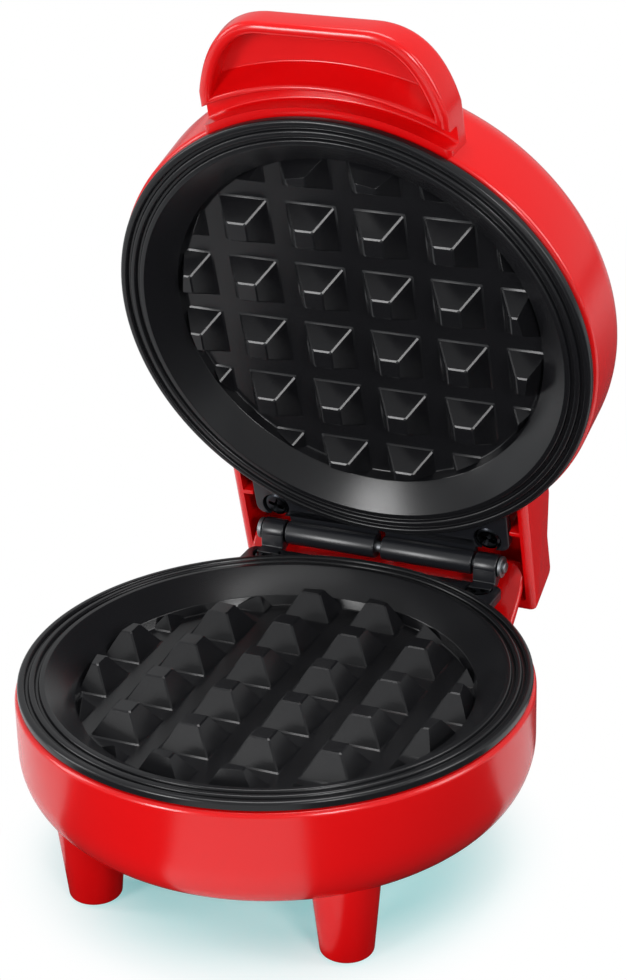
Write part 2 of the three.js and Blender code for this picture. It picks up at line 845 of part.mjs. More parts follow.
// The apron is a curved wall that rises behind the hinge and hides it from the back
function hingeApron() {
  const footY = Math.sqrt(casingRadius ** 2 - apronHalf ** 2) - overrun;
  const topY = hingeY + barrelRadius + apronGap;
  const topZ = hingeZ - apronTopDrop;
  const footZ = hingeZ - apronFootDrop;
  const bendY = hingeY - apronBendInset;
  const bendZ = hingeZ - apronBendDrop;
  const [lipOut, lipDown] = apronLipShares;
  const side = new THREE.Shape();
  side.moveTo(footY, footZ);
  side.quadraticCurveTo(bendY, bendZ, topY, topZ);
  side.quadraticCurveTo(
    topY + casingWall * lipOut, topZ + casingWall * lipOut, topY + casingWall, topZ - casingWall * lipDown);
  side.quadraticCurveTo(
    bendY + casingWall * apronBendShare, bendZ - casingWall * apronBendShare, footY, footZ - casingWall);
  side.closePath();
  const outline = roundedShape([
    [-apronHalf, 0, 0],
    [apronHalf, 0, 0],
    [apronHalf, topZ + casingWall, apronCornerRadius],
    [-apronHalf, topZ + casingWall, apronCornerRadius],
  ]);
  return solid(acrossWidth(side, apronHalf)).intersect(solid(facingBack(outline, 0, housingBackY)));
}

function inletAxis(geometry) {
  return solid(geometry.rotateX(-Math.PI / 2).translate(0, 0, partingHeight - inletDrop));
}

function baseShell() {
  const bowl = turnedOver(casingBody(baseDepth, baseStraight, baseCrown));
  const cavity = turnedOver(casingCavity(baseDepth, baseStraight, baseCrown));
  const padRecesses = atLegs(() =>
    solid(disc(padRadius + seatGap, -overrun, padThickness + seatGap, padSegments)));
  const bossFace = casingRadius + inletBossProud;
  const inletBoss = inletAxis(disc(inletBossRadius, innerRadius - inletDepth, bossFace));
  const inletHole = inletAxis(disc(bushRadius + seatGap, 0, bossFace + overrun, padSegments));
  const posts = turnedOver(bracketPosts(bracketDepth + seatGap, baseStraight - casingWall));
  const pillars = turnedOver(atPillars(() => hidden(pillarRadius, pillarBossEnd + seatGap, baseDepth)));
  const screwWells = turnedOver(atPillars(() => joined([
    hidden(pillarBoreRadius, 0, baseDepth),
    solid(disc(pillarScrewHeadRadius + seatGap, baseDepth - pillarScrewSeat, baseDepth + overrun)),
  ])));
  const slot = turnedOver(solid(block(-bracketHalf - seatGap, bracketHalf + seatGap,
    housingFrontY, hingeY, rimDrop - overrun, bracketDepth + seatGap)));
  return surface(joined([bowl, atLegs(leg), hingeApron(), posts, inletBoss.subtract(cavity)])
    .subtract(cavity)
    .subtract(atLegs(legHollow))
    .add(pillars.intersect(bowl))
    .subtract(slot)
    .subtract(screwWells)
    .subtract(padRecesses)
    .subtract(inletHole)
    .subtract(turnedOver(bracketPostHoles())));
}

function baseScrew() {
  const seat = baseDepth - pillarScrewSeat + seatGap;
  return turned([
    [0, pillarBossEnd - pillarPinLength],
    [pillarPinRadius, pillarBossEnd - pillarPinLength],
    [pillarPinRadius, seat],
    [pillarScrewHeadRadius, seat],
    [pillarScrewHeadRadius, seat + pillarScrewHeadHeight],
    [0, seat + pillarScrewHeadHeight],
  ]);
}

function footPad() {
  return disc(padRadius, 0, padThickness, padSegments);
}

// Electrical pieces
function thermostat() {
  const foot = plateBottom + seatGap;
  const top = foot + thermostatHeight;
  const body = solid(turned([
    [0, foot],
    [thermostatRadius, foot],
    [thermostatRadius, top - thermostatCapHeight],
    [thermostatCapRadius, top - thermostatCapHeight],
    [thermostatCapRadius, top],
    [0, top],
  ], padSegments));
  const blades = [-bladeOffset, bladeOffset].map((x) => solid(block(
    x - bladeThickness / 2, x + bladeThickness / 2, -bladeWidth / 2, bladeWidth / 2,
    top - thermostatCapHeight, top + bladeHeight)));
  return surface(joined([body, ...blades]));
}

function thermalFuse() {
  const half = fuseLength / 2;
  return turned([
    [0, -half - fuseLeadLength],
    [fuseLeadRadius, -half - fuseLeadLength],
    [fuseLeadRadius, -half - fuseRadius],
    [fuseRadius, -half],
    [fuseRadius, half],
    [fuseLeadRadius, half + fuseRadius],
    [fuseLeadRadius, half + fuseLeadLength],
    [0, half + fuseLeadLength],
  ], hiddenSegments).rotateY(Math.PI / 2).translate(0, 0, plateBottom + seatGap + fuseRadius);
}

function terminalBlock() {
  const floor = legHeight + casingWall + seatGap;
  const height = (partingHeight - reflectorBack - screwHeadHeight - floor) * terminalBlockHeightShare;
  const y = casingRadius * terminalBlockReachShare;
  const body = solid(block(-terminalBlockLength / 2, terminalBlockLength / 2,
    y - terminalBlockWidth / 2, y + terminalBlockWidth / 2, floor, floor + height));
  const cellRadius = height * terminalCellShare;
  const cells = [-1, 0, 1].map((cell) => solid(
    new THREE.CylinderGeometry(cellRadius, cellRadius, terminalBlockWidth + 2 * overrun, smallSegments)
      .translate(cell * terminalCellPitch, y, floor + height / 2)));
  return surface(body.subtract(joined(cells)));
}

function indicatorLens() {
  const wallTop = lidDepth - lidCrown * Math.abs(lensY) / (casingRadius - cornerReach);
  const flangeFoot = lensFlangeTop - lensFlangeThickness;
  const sleeveFoot = flangeFoot - lampRoom * lensSleeveShare;
  const [crownRadius, crownRise] = lensCrownShares;
  return turned([
    [0, wallTop + lensRise],
    [lensRadius * crownRadius, wallTop + lensRise * crownRise],
    [lensRadius, wallTop],
    [lensRadius, lensFlangeTop],
    [lensFlangeRadius, lensFlangeTop],
    [lensFlangeRadius, flangeFoot],
    [lensRadius, flangeFoot],
    [lensRadius, sleeveFoot],
    [lampRadius + seatGap, sleeveFoot],
    [lampRadius + seatGap, lensFlangeTop],
    [0, lensFlangeTop],
  ], padSegments).translate(0, lensY, 0);
}

function indicatorLamp() {
  const tip = lensFlangeTop - seatGap;
  const foot = tip - lampRoom * lampLengthShare;
  const [crownRadius, crownDrop] = lampCrownShares;
  return turned([
    [0, tip],
    [lampRadius * crownRadius, tip - lampDomeRise * crownDrop],
    [lampRadius, tip - lampDomeRise],
    [lampRadius, foot],
    [0, foot],
  ]).translate(0, lensY, 0);
}

function cordBush() {
  const face = casingRadius + inletBossProud + seatGap;
  return surface(inletAxis(turned([
    [bushBore, face - inletDepth],
    [bushRadius, face - inletDepth],
    [bushRadius, face],
    [bushFlangeRadius, face],
    [bushFlangeRadius, face + bushFlangeThickness],
    [bushRadius, face + bushFlangeThickness],
    [bushBore + seatGap * 2, face + bushFlangeThickness + bushNoseLength],
    [bushBore, face + bushFlangeThickness + bushNoseLength],
    [bushBore, face - inletDepth],
  ], padSegments)));
}

// Assembly
function add(parent, name, geometry, finish) {
  const mesh = new THREE.Mesh(geometry, finish);
  mesh.name = name;
  parent.add(mesh);
  return mesh;
}

// Copies of one piece at several places, numbered in their names
function addEach(parent, name, geometry, finish, places) {
  places.forEach(([x, y], i) => {
    add(parent, `${name}_${i + 1}`, geometry.clone(), finish).position.set(x, y, 0);
  });
}

const base = new THREE.Group();
add(base, 'base_shell', baseShell(), redPlastic);
add(base, 'cord_bush', cordBush(), rubber);
add(base, 'terminal_block', terminalBlock(), nylon);
for (const [side, x] of [['left', -1], ['right', 1]]) {
  for (const [end, y] of [['front', -1], ['rear', 1]]) {
    const pad = add(base, `foot_pad_${end}_${side}`, footPad(), rubber);
    pad.position.set(x * legHalfSpanX, y * legHalfSpanY, 0);
  }
}
const pin = add(base, 'hinge_pin', hingePin(), steel);
pin.rotation.y = Math.PI / 2;
pin.position.set(0, hingeY, hingeZ);
const clip = add(base, 'hinge_pin_clip', hingeClip(), steel);
clip.rotation.y = Math.PI / 2;
clip.position.set(knuckleEnd + seatGap, hingeY, hingeZ);

const lowerHalf = new THREE.Group();
lowerHalf.rotation.y = Math.PI;
lowerHalf.position.z = partingHeight;
base.add(lowerHalf);
add(lowerHalf, 'lower_plate', gridPlate(), blackPlate);
add(lowerHalf, 'lower_heater', heater(), heaterMetal);
add(lowerHalf, 'lower_reflector', reflector(), tinplate);
addEach(lowerHalf, 'lower_reflector_screw', reflectorScrew(), steel, reflectorScrewPlaces);
add(lowerHalf, 'thermal_fuse', thermalFuse(), nylon);
add(lowerHalf, 'base_hinge_bracket', baseBracket(), blackMetal);
addEach(lowerHalf, 'base_bracket_screw', bracketScrew(), blackMetal, bracketScrewPlaces);
addEach(lowerHalf, 'base_screw', baseScrew(), steel, pillarPlaces);

const lid = new THREE.Group();
lid.position.set(0, -hingeY, -hingeZ);
const upperHalf = new THREE.Group();
upperHalf.position.z = partingHeight;
lid.add(upperHalf);
add(upperHalf, 'lid_shell', lidShell(), redPlastic);
add(upperHalf, 'upper_plate', gridPlate(), blackPlate);
add(upperHalf, 'upper_heater', heater(), heaterMetal);
add(upperHalf, 'upper_reflector', reflector(), tinplate);
addEach(upperHalf, 'upper_reflector_screw', reflectorScrew(), steel, reflectorScrewPlaces);
add(upperHalf, 'thermostat', thermostat(), nylon);
add(upperHalf, 'indicator_lens', indicatorLens(), amber);
add(upperHalf, 'indicator_lamp', indicatorLamp(), glass);
add(upperHalf, 'lid_hinge_bracket', lidBracket(), blackMetal);
addEach(upperHalf, 'lid_bracket_screw', bracketScrew(), blackMetal, bracketScrewPlaces);

// The lid turns back about the hinge axis by its opening angle
const lidPivot = new THREE.Group();
lidPivot.position.set(0, hingeY, hingeZ);
lidPivot.rotation.x = -openAngle;
lidPivot.add(lid);

const wafflemaker = new THREE.Group();
wafflemaker.add(base, lidPivot);
wafflemaker.updateMatrixWorld(true);

// The origin stands midway between the front and the back, on the surface it rests on
const extent = new THREE.Box3().setFromObject(wafflemaker, true);
wafflemaker.position.y = -(extent.min.y + extent.max.y) / 2;
wafflemaker.updateMatrixWorld(true);

export default wafflemaker;
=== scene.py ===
# %% [markdown]
# # Dressing a mini waffle maker
# The object is a small red waffle maker that stands open on four legs.
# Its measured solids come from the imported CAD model, which is loaded first and never moved.
# Each smooth piece made here takes the place of one CAD node and rides on the same moving body.

import json
import math

import bmesh
import bpy
from mathutils import Matrix, Vector


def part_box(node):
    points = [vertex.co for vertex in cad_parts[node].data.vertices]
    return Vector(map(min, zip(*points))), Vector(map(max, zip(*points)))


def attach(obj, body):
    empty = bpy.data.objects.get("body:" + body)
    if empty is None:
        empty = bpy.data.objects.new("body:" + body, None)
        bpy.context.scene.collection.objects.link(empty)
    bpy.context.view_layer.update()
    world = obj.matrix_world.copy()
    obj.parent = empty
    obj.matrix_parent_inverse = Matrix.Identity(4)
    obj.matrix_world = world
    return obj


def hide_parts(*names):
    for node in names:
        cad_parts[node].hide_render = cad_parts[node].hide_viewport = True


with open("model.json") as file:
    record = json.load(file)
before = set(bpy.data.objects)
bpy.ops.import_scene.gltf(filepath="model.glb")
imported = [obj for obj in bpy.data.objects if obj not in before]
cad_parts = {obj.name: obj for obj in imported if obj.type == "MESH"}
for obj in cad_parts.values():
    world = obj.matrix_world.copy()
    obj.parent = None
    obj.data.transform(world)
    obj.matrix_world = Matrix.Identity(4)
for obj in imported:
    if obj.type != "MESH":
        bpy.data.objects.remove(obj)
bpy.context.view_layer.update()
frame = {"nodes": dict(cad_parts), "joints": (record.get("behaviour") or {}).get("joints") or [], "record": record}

# %% [markdown]
# The pieces are drawn in millimetres in one half of the appliance at a time.
# The parting plane between lid and base is height 0, and depth grows into the half.
# The same drawing then serves the lid as it is, and the base turned over.
# Two matrices put a half in its place: the lid is also swung back about the hinge.
# Drawing the open lid where it stands would need slanted coordinates for every piece.

# %% Places of the two halves
MM = 0.001
PARTING_HEIGHT = 48.2
OPEN_ANGLE = math.radians(74.8)

plate_low, plate_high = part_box("lower_plate")
centre_y = (plate_low.y + plate_high.y) / 2
hinge = Vector(frame["joints"][0]["pos_m"])

to_metres = Matrix.Scale(MM, 4)
to_parting = Matrix.Translation((0, centre_y, PARTING_HEIGHT * MM))
BASE_PLACE = to_parting @ Matrix.Rotation(math.pi, 4, "Y") @ to_metres
LID_PLACE = (
    Matrix.Translation(hinge)
    @ Matrix.Rotation(-OPEN_ANGLE, 4, "X")
    @ Matrix.Translation(-hinge)
    @ to_parting
    @ to_metres
)
HINGE_Y = (hinge.y - centre_y) / MM
HINGE_RISE = hinge.z / MM - PARTING_HEIGHT
print("hinge axis, mm behind the centre:", round(HINGE_Y, 2), "rise:", round(HINGE_RISE, 2))

# %% [markdown]
# Sizes that several pieces share. They match the CAD model, so that the dressed pieces
# sit exactly where the solids are, with the same gaps.

# %% Shared sizes in millimetres
CASING_RADIUS = 60.0
CASING_WALL = 2.4
CORNER_REACH = 18.0
RIM_DROP = 2.6
RIM_ROUND = 1.4
LEDGE_RADIUS = 54.63
LEDGE_THICKNESS = 2.0
PLATE_RADIUS = 59.3
BRACKET_HALF = 34.0
BRACKET_FACE = 2.6
BRACKET_DEPTH = 5.2
BRACKET_BACK_Y = HINGE_Y - 3.5
BARREL_RADIUS = 3.0
SCREW_HALF_SPACING = 28.4
SCREW_Y = BRACKET_BACK_Y - 3.1
SCREW_SPOTS = [(-SCREW_HALF_SPACING, SCREW_Y), (SCREW_HALF_SPACING, SCREW_Y)]
ROUND_STEPS = 192
print("rear edge of the brackets, mm behind the centre:", round(BRACKET_BACK_Y, 2))

# %% [markdown]
# Two drawing helpers. The first rounds the corners of an outline with true arcs,
# because every moulded or cast edge has a small radius that catches the light.
# A Bevel modifier could round them too, but arcs in the outline keep each radius exact,
# and an arc takes a little under half of a side at most, so that two never overlap.
# The second moves an outline inwards, which makes walls and rounded edges from one shape.

# %% Outline helpers
LONGEST_REACH = 0.48
LEAST_LEAN = 0.4


def rounded(corners, steps=5, closed=True):
    points = []
    last = len(corners) - 1
    for i, (a, b, radius) in enumerate(corners):
        here = Vector((a, b))
        if radius == 0 or (not closed and i in (0, last)):
            points.append((a, b))
            continue
        to_before = Vector(corners[i - 1][:2]) - here
        to_after = Vector(corners[(i + 1) % len(corners)][:2]) - here
        half = to_before.angle(to_after) / 2
        reach = min(radius / math.tan(half), LONGEST_REACH * min(to_before.length, to_after.length))
        radius = reach * math.tan(half)
        middle = (to_before.normalized() + to_after.normalized()).normalized()
        centre = here + middle * (radius / math.sin(half))
        first = here + to_before.normalized() * reach - centre
        final = here + to_after.normalized() * reach - centre
        start = math.atan2(first.y, first.x)
        sweep = (math.atan2(final.y, final.x) - start + math.pi) % (2 * math.pi) - math.pi
        for k in range(steps + 1):
            angle = start + sweep * k / steps
            points.append((centre.x + radius * math.cos(angle), centre.y + radius * math.sin(angle)))
    return points


def inset(outline, distance):
    area = sum(a[0] * b[1] - b[0] * a[1] for a, b in zip(outline, outline[1:] + outline[:1]))
    side = 1 if area > 0 else -1
    inner = []
    for i, point in enumerate(outline):
        here = Vector(point)
        before = (here - Vector(outline[i - 1])).normalized()
        after = (Vector(outline[(i + 1) % len(outline)]) - here).normalized()
        normal = Vector((-(before + after).y, (before + after).x)).normalized() * side
        lean = max(LEAST_LEAN, abs(normal.dot(Vector((-before.y, before.x)))))
        inner.append(tuple(here + normal * distance / lean))
    return inner

# %% [markdown]
# Meshes come from two simple builders. A lathe turns a profile round the upright axis,
# which suits the round casings and plates; Blender's Screw modifier could do the same, but
# a loop shows how the rings are joined. A stack lofts one outline through several heights.
# Vertices that fall together are merged first, and then all faces are turned outwards.

# %% Mesh builders
MERGE_DISTANCE = 1e-5
ON_AXIS = 1e-6


def new_piece(name, vertices, faces):
    mesh = bpy.data.meshes.new(name)
    mesh.from_pydata(vertices, [], faces)
    piece = bpy.data.objects.new(name, mesh)
    bpy.context.scene.collection.objects.link(piece)
    shape = bmesh.new()
    shape.from_mesh(mesh)
    bmesh.ops.remove_doubles(shape, verts=shape.verts, dist=MERGE_DISTANCE)
    bmesh.ops.recalc_face_normals(shape, faces=shape.faces)
    shape.to_mesh(mesh)
    shape.free()
    return piece


def turned(name, profile, steps=ROUND_STEPS):
    vertices, rings, faces = [], [], []
    for radius, height in profile:
        count = 1 if radius < ON_AXIS else steps
        rings.append([len(vertices) + k for k in range(count)])
        for k in range(count):
            angle = 2 * math.pi * k / steps
            vertices.append((radius * math.cos(angle), radius * math.sin(angle), height))
    pairs = list(zip(rings, rings[1:]))
    if len(rings[0]) > 1:
        pairs.append((rings[-1], rings[0]))
    for low, high in pairs:
        for k in range(steps if len(low) + len(high) > 2 else 0):
            corners = [low[k % len(low)], low[(k + 1) % steps % len(low)],
                       high[(k + 1) % steps % len(high)], high[k % len(high)]]
            faces.append(list(dict.fromkeys(corners)))
    return new_piece(name, vertices, faces)


def stacked(name, layers):
    vertices, faces = [], []
    count = len(layers[0][0])
    for outline, height in layers:
        vertices += [(a, b, height) for a, b in outline]
    for layer in range(len(layers) - 1):
        for k in range(count):
            low, high = layer * count, (layer + 1) * count
            faces.append([low + k, low + (k + 1) % count, high + (k + 1) % count, high + k])
    faces.append(list(range(count)))
    faces.append(list(range(len(vertices) - count, len(vertices))))
    return new_piece(name, vertices, faces)

# %% [markdown]
# A prism is a stack whose two ends may be rounded: near an end the outline shrinks along
# a quarter circle. A piece whose corners are tighter than that round brings its own way
# of shrinking, because a plain inset would fold such a corner over.

# %% Prisms with rounded ends
def quarter(radius, steps):
    if not radius:
        return [(0.0, 0.0)]
    angles = [math.pi / 2 * k / steps for k in range(steps + 1)]
    return [(radius * (1 - math.sin(angle)), radius * (1 - math.cos(angle))) for angle in angles]


def prism(name, outline, low, high, low_round=0.0, high_round=0.0, steps=5, smaller=inset):
    layers = [(smaller(outline, inwards) if inwards else outline, low + upwards)
              for inwards, upwards in quarter(low_round, steps)]
    layers += [(smaller(outline, inwards) if inwards else outline, high - downwards)
               for inwards, downwards in reversed(quarter(high_round, steps))]
    return stacked(name, layers)

# %% [markdown]
# Pieces are cut and softened with Blender's own modifiers, which are applied at once, so
# that only plain meshes are left. A bevel rounds the edges that are sharper than an angle.
# Mouldings that belong together are only joined, because their faces may pass through each
# other out of sight, and a Boolean union would leave thin faces where walls nearly touch.

# %% Joining, cutting and softening
def settled(piece):
    graph = bpy.context.evaluated_depsgraph_get()
    mesh = bpy.data.meshes.new_from_object(piece.evaluated_get(graph))
    piece.modifiers.clear()
    piece.data = mesh
    return piece


def boolean(piece, operation, tools):
    for tool in tools:
        step = piece.modifiers.new("boolean", "BOOLEAN")
        step.operation = operation
        step.solver = "EXACT"
        step.object = tool
    settled(piece)
    for tool in tools:
        bpy.data.objects.remove(tool)
    return piece


def cut(piece, *tools):
    return boolean(piece, "DIFFERENCE", tools)


def common(piece, *tools):
    return boolean(piece, "INTERSECT", tools)


def softened(piece, width, degrees=35, steps=3):
    step = piece.modifiers.new("softened", "BEVEL")
    step.width = width
    step.segments = steps
    step.limit_method = "ANGLE"
    step.angle_limit = math.radians(degrees)
    step.use_clamp_overlap = True
    return settled(piece)


def joined(name, *pieces):
    shape = bmesh.new()
    for piece in pieces:
        shape.from_mesh(piece.data)
    mesh = bpy.data.meshes.new(name)
    shape.to_mesh(mesh)
    shape.free()
    for piece in pieces:
        bpy.data.objects.remove(piece)
    whole = bpy.data.objects.new(name, mesh)
    bpy.context.scene.collection.objects.link(whole)
    return whole

# %% [markdown]
# Moving a piece means moving its vertices, so that every object keeps its origin in the
# middle of the floor. A finished piece gets its material, smooth shading with crisp edges
# where the surface turns sharply, the body it rides on and the CAD node it stands for.
# The two matrices turn an extruded side view across the width, and a rear view to the back.

# %% Placing and finishing
ACROSS_WIDTH = Matrix(((0, 0, 1, 0), (1, 0, 0, 0), (0, 1, 0, 0), (0, 0, 0, 1)))
FACING_BACK = Matrix(((1, 0, 0, 0), (0, 0, 1, 0), (0, 1, 0, 0), (0, 0, 0, 1)))


def moved(piece, matrix):
    piece.data.transform(matrix)
    if matrix.determinant() < 0:
        piece.data.flip_normals()
    return piece


def finished(piece, place, material, body, nodes, crease=32):
    moved(piece, place)
    piece.data.materials.clear()
    piece.data.materials.append(material)
    piece.data.shade_smooth()
    piece.data.set_sharp_from_angle(angle=math.radians(crease))
    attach(piece, body)
    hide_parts(*nodes)
    print(piece.name, "faces:", len(piece.data.polygons), "stands for:", ", ".join(nodes))
    return piece

# %% [markdown]
# ## Materials
# One function turns a screen colour into the linear values that Blender works in,
# and one adds a node with its settings and links. Every texture scale is worked out
# from a real size in millimetres, because Object coordinates are in metres.

# %% Colour and node helpers
def linear(hex_colour):
    channels = [int(hex_colour[i:i + 2], 16) / 255 for i in (1, 3, 5)]
    return [c / 12.92 if c <= 0.04045 else ((c + 0.055) / 1.055) ** 2.4 for c in channels] + [1.0]


def add_node(tree, kind, inputs=None, **settings):
    node = tree.nodes.new(kind)
    for name, value in settings.items():
        setattr(node, name, value)
    for name, value in (inputs or {}).items():
        if isinstance(value, bpy.types.NodeSocket):
            tree.links.new(value, node.inputs[name])
        else:
            node.inputs[name].default_value = value
    return node


def per_metre(size_mm):
    return 1 / (size_mm * MM)

# %% [markdown]
# All finishes share one recipe. A noise with a real grain size drives a faint bump, which
# breaks up reflections the way a real surface does, and may also vary the roughness a
# little, so that large faces don't look like one flat colour. An image could do this too,
# but a noise on Object coordinates has no seams and keeps its size on every piece.

# %% Recipe for a finish
RELIEF_SHARE = 0.2


def finish_of(name, colour, roughness, grain_mm=0, bump=0.0, spread=0.0, **sockets):
    material = bpy.data.materials.new(name)
    material.use_nodes = True
    tree = material.node_tree
    tree.nodes.clear()
    surface = add_node(tree, "ShaderNodeBsdfPrincipled", {
        "Base Color": linear(colour), "Roughness": roughness})
    for socket, value in sockets.items():
        surface.inputs[socket.replace("_", " ")].default_value = value
    if grain_mm:
        place = add_node(tree, "ShaderNodeTexCoord")
        noise = add_node(tree, "ShaderNodeTexNoise", {
            "Vector": place.outputs["Object"], "Scale": per_metre(grain_mm), "Detail": 3.0})
        relief = add_node(tree, "ShaderNodeBump", {
            "Height": noise.outputs["Fac"], "Strength": bump, "Distance": grain_mm * MM * RELIEF_SHARE})
        tree.links.new(relief.outputs["Normal"], surface.inputs["Normal"])
        if spread:
            vary = add_node(tree, "ShaderNodeMapRange", {
                "Value": noise.outputs["Fac"], "To Min": roughness - spread, "To Max": roughness + spread})
            tree.links.new(vary.outputs["Result"], surface.inputs["Roughness"])
    add_node(tree, "ShaderNodeOutputMaterial", {"Surface": surface.outputs["BSDF"]})
    print("finish:", name, "roughness:", roughness)
    return material

# %% [markdown]
# The casings are injection-moulded ABS in a saturated red. The plastic is coloured through,
# so one colour serves the whole moulding, and its polished mould gives it a clear gloss in
# which the studio shows as soft panels. The very slow waviness of the noise bends their
# edges a little, as on real moulded walls.

# %% Red plastic
red_abs = finish_of("moulded_red_abs", "#D8070A", 0.2, grain_mm=14, bump=0.03, IOR=1.5)

# %% [markdown]
# The grid plates are die-cast aluminium under a baked fluoropolymer coating. The coating is
# sprayed on and baked, which leaves a satin black with a fine grain. The grain is drawn at
# 0.6 mm, somewhat coarser than the real one, so that it shows. The coating's low refractive
# index keeps the flat faces dark, while rounded edges still glint.

# %% Non-stick coating
nonstick = finish_of("baked_nonstick_on_cast_aluminium", "#161618", 0.24,
                     grain_mm=0.6, bump=0.03, spread=0.03, IOR=1.38)

# %% [markdown]
# The hinge brackets are painted metal, a little softer in gloss than the plates. The pin is
# zinc-plated steel, grey and half dull. The cross screws have a black zinc plating, so that
# their heads mirror the studio darkly. The metal parts inside are a heater sheath darkened
# by heat and bright aluminised sheet. Bare metals keep Blender's usual refractive index.

# %% Metals
black_paint = finish_of("black_painted_bracket", "#1A1B1F", 0.3, grain_mm=1.2, bump=0.04, IOR=1.5)
zinc_steel = finish_of("zinc_plated_steel", "#7C7F82", 0.48, grain_mm=0.5, bump=0.03, Metallic=1.0)
black_zinc = finish_of("black_zinc_screw", "#303236", 0.22, grain_mm=0.5, bump=0.03, Metallic=1.0)
heater_steel = finish_of("annealed_heater_sheath", "#6B6967", 0.45, grain_mm=0.8, bump=0.05, Metallic=1.0)
tin_steel = finish_of("aluminised_steel_sheet", "#C9CBCD", 0.35, grain_mm=6, bump=0.05, Metallic=1.0)

# %% [markdown]
# The rest is moulded black rubber, which is matt with a fine grain, cream-coloured nylon
# or ceramic with a half-matt skin, and a tinted polycarbonate lens over a small glass lamp.
# Lens and lamp let light through, which their transmission gives.

# %% Rubber, nylon, lens and lamp
black_rubber = finish_of("moulded_black_rubber", "#1C1C1C", 0.8, grain_mm=0.6, bump=0.15)
cream_nylon = finish_of("natural_nylon", "#E4DCC8", 0.5)
amber_lens = finish_of("tinted_polycarbonate_lens", "#F08A2A", 0.12, IOR=1.58, Transmission_Weight=0.35)
lamp_glass = finish_of("clear_lamp_glass", "#EEF4F6", 0.05, IOR=1.47, Transmission_Weight=0.9)
print("materials:", [m.name for m in bpy.data.materials])

# %% [markdown]
# ## Casings
# Both casings are the same kind of round moulding: a rounded rim, a straight wall and an
# elliptical corner that runs into a flat or nearly flat end. A subdivision surface could
# give such a form, but not these exact radii. One closed profile with a constant wall,
# turned on the lathe, gives outside, inside and the ledge on which the plate's flange rests.

# %% Casing profile
CORNER_STEPS = 24
RIM_STEPS = 6


def casing_profile(depth, straight, crown):
    def shell(radius, reach, end):
        points = []
        flat = radius - reach
        for k in range(CORNER_STEPS + 1):
            angle = math.pi / 2 * k / CORNER_STEPS
            points.append((flat + reach * math.cos(angle),
                           straight + (end - crown - straight) * math.sin(angle)))
        for share in (0.75, 0.5, 0.25, 0.0):
            points.append((flat * share, end - crown * share ** 2))
        return points

    rim = []
    for k in range(RIM_STEPS + 1):
        angle = math.pi / 2 * k / RIM_STEPS
        rim.append((CASING_RADIUS - RIM_ROUND + RIM_ROUND * math.sin(angle),
                    RIM_DROP + RIM_ROUND - RIM_ROUND * math.cos(angle)))
    inner_radius = CASING_RADIUS - CASING_WALL
    outside = rim + shell(CASING_RADIUS, CORNER_REACH, depth)
    inside = shell(inner_radius, CORNER_REACH - CASING_WALL, depth - CASING_WALL)
    ledge = [(inner_radius, RIM_DROP + LEDGE_THICKNESS), (LEDGE_RADIUS, RIM_DROP + LEDGE_THICKNESS),
             (LEDGE_RADIUS, RIM_DROP)]
    return outside[::-1] + ledge[::-1] + inside

# %% [markdown]
# The base bowl gets four tapering legs, a rear apron that hides the hinge, and the boss
# of the cord inlet. A leg could start as a cone primitive, but one turned profile gives the
# taper, the rounded foot and the recess for the rubber pad at once. One small function
# changes a height above the table into a depth.

# %% Base: bowl and legs
BASE_DEPTH, BASE_STRAIGHT = 32.2, 16.2
LEG_X, LEG_Y = 31.4, 34.6
LEG_SPOTS = [(x, y) for x in (-LEG_X, LEG_X) for y in (-LEG_Y, LEG_Y)]
LEG_TOP, LEG_ROOT_HEIGHT, LEG_FOOT_HEIGHT = 24.5, 23, 0.6
LEG_TOP_RADIUS, LEG_ROOT_RADIUS, LEG_FOOT_RADIUS = 8.5, 8.3, 6.1
RECESS_RADIUS, RECESS_TOP = 4.5, 2.9


def below(height):
    return PARTING_HEIGHT - height


def leg_profile():
    return rounded([
        (0, below(LEG_TOP), 0), (LEG_TOP_RADIUS, below(LEG_TOP), 0),
        (LEG_ROOT_RADIUS, below(LEG_ROOT_HEIGHT), 0), (LEG_FOOT_RADIUS, below(LEG_FOOT_HEIGHT), 1.6),
        (RECESS_RADIUS, below(LEG_FOOT_HEIGHT), 0.25), (RECESS_RADIUS, below(RECESS_TOP), 0),
        (0, below(RECESS_TOP), 0),
    ], closed=False)


base_bowl = turned("base_bowl", casing_profile(BASE_DEPTH, BASE_STRAIGHT, 0.0))
legs = [moved(turned(f"leg_{i}", leg_profile(), 64), Matrix.Translation((x, y, 0)))
        for i, (x, y) in enumerate(LEG_SPOTS)]
print("legs:", len(legs))

# %% [markdown]
# The apron is a curved wall that rises from the back of the bowl and ends just behind the
# hinge barrels. Its side view is drawn once as two curves and a rounded lip, with places
# measured from the hinge axis, and extruded across the width. A second outline, as seen from
# behind, then rounds its upper corners: what both extrusions share is the apron.

# %% Base: rear apron
APRON_HALF = 36.5
APRON_CORNER = 5.5


def bend(start, control, end, steps=14):
    points = []
    for k in range(steps + 1):
        t = k / steps
        points.append(tuple((1 - t) ** 2 * s + 2 * t * (1 - t) * c + t * t * e
                            for s, c, e in zip(start, control, end)))
    return points


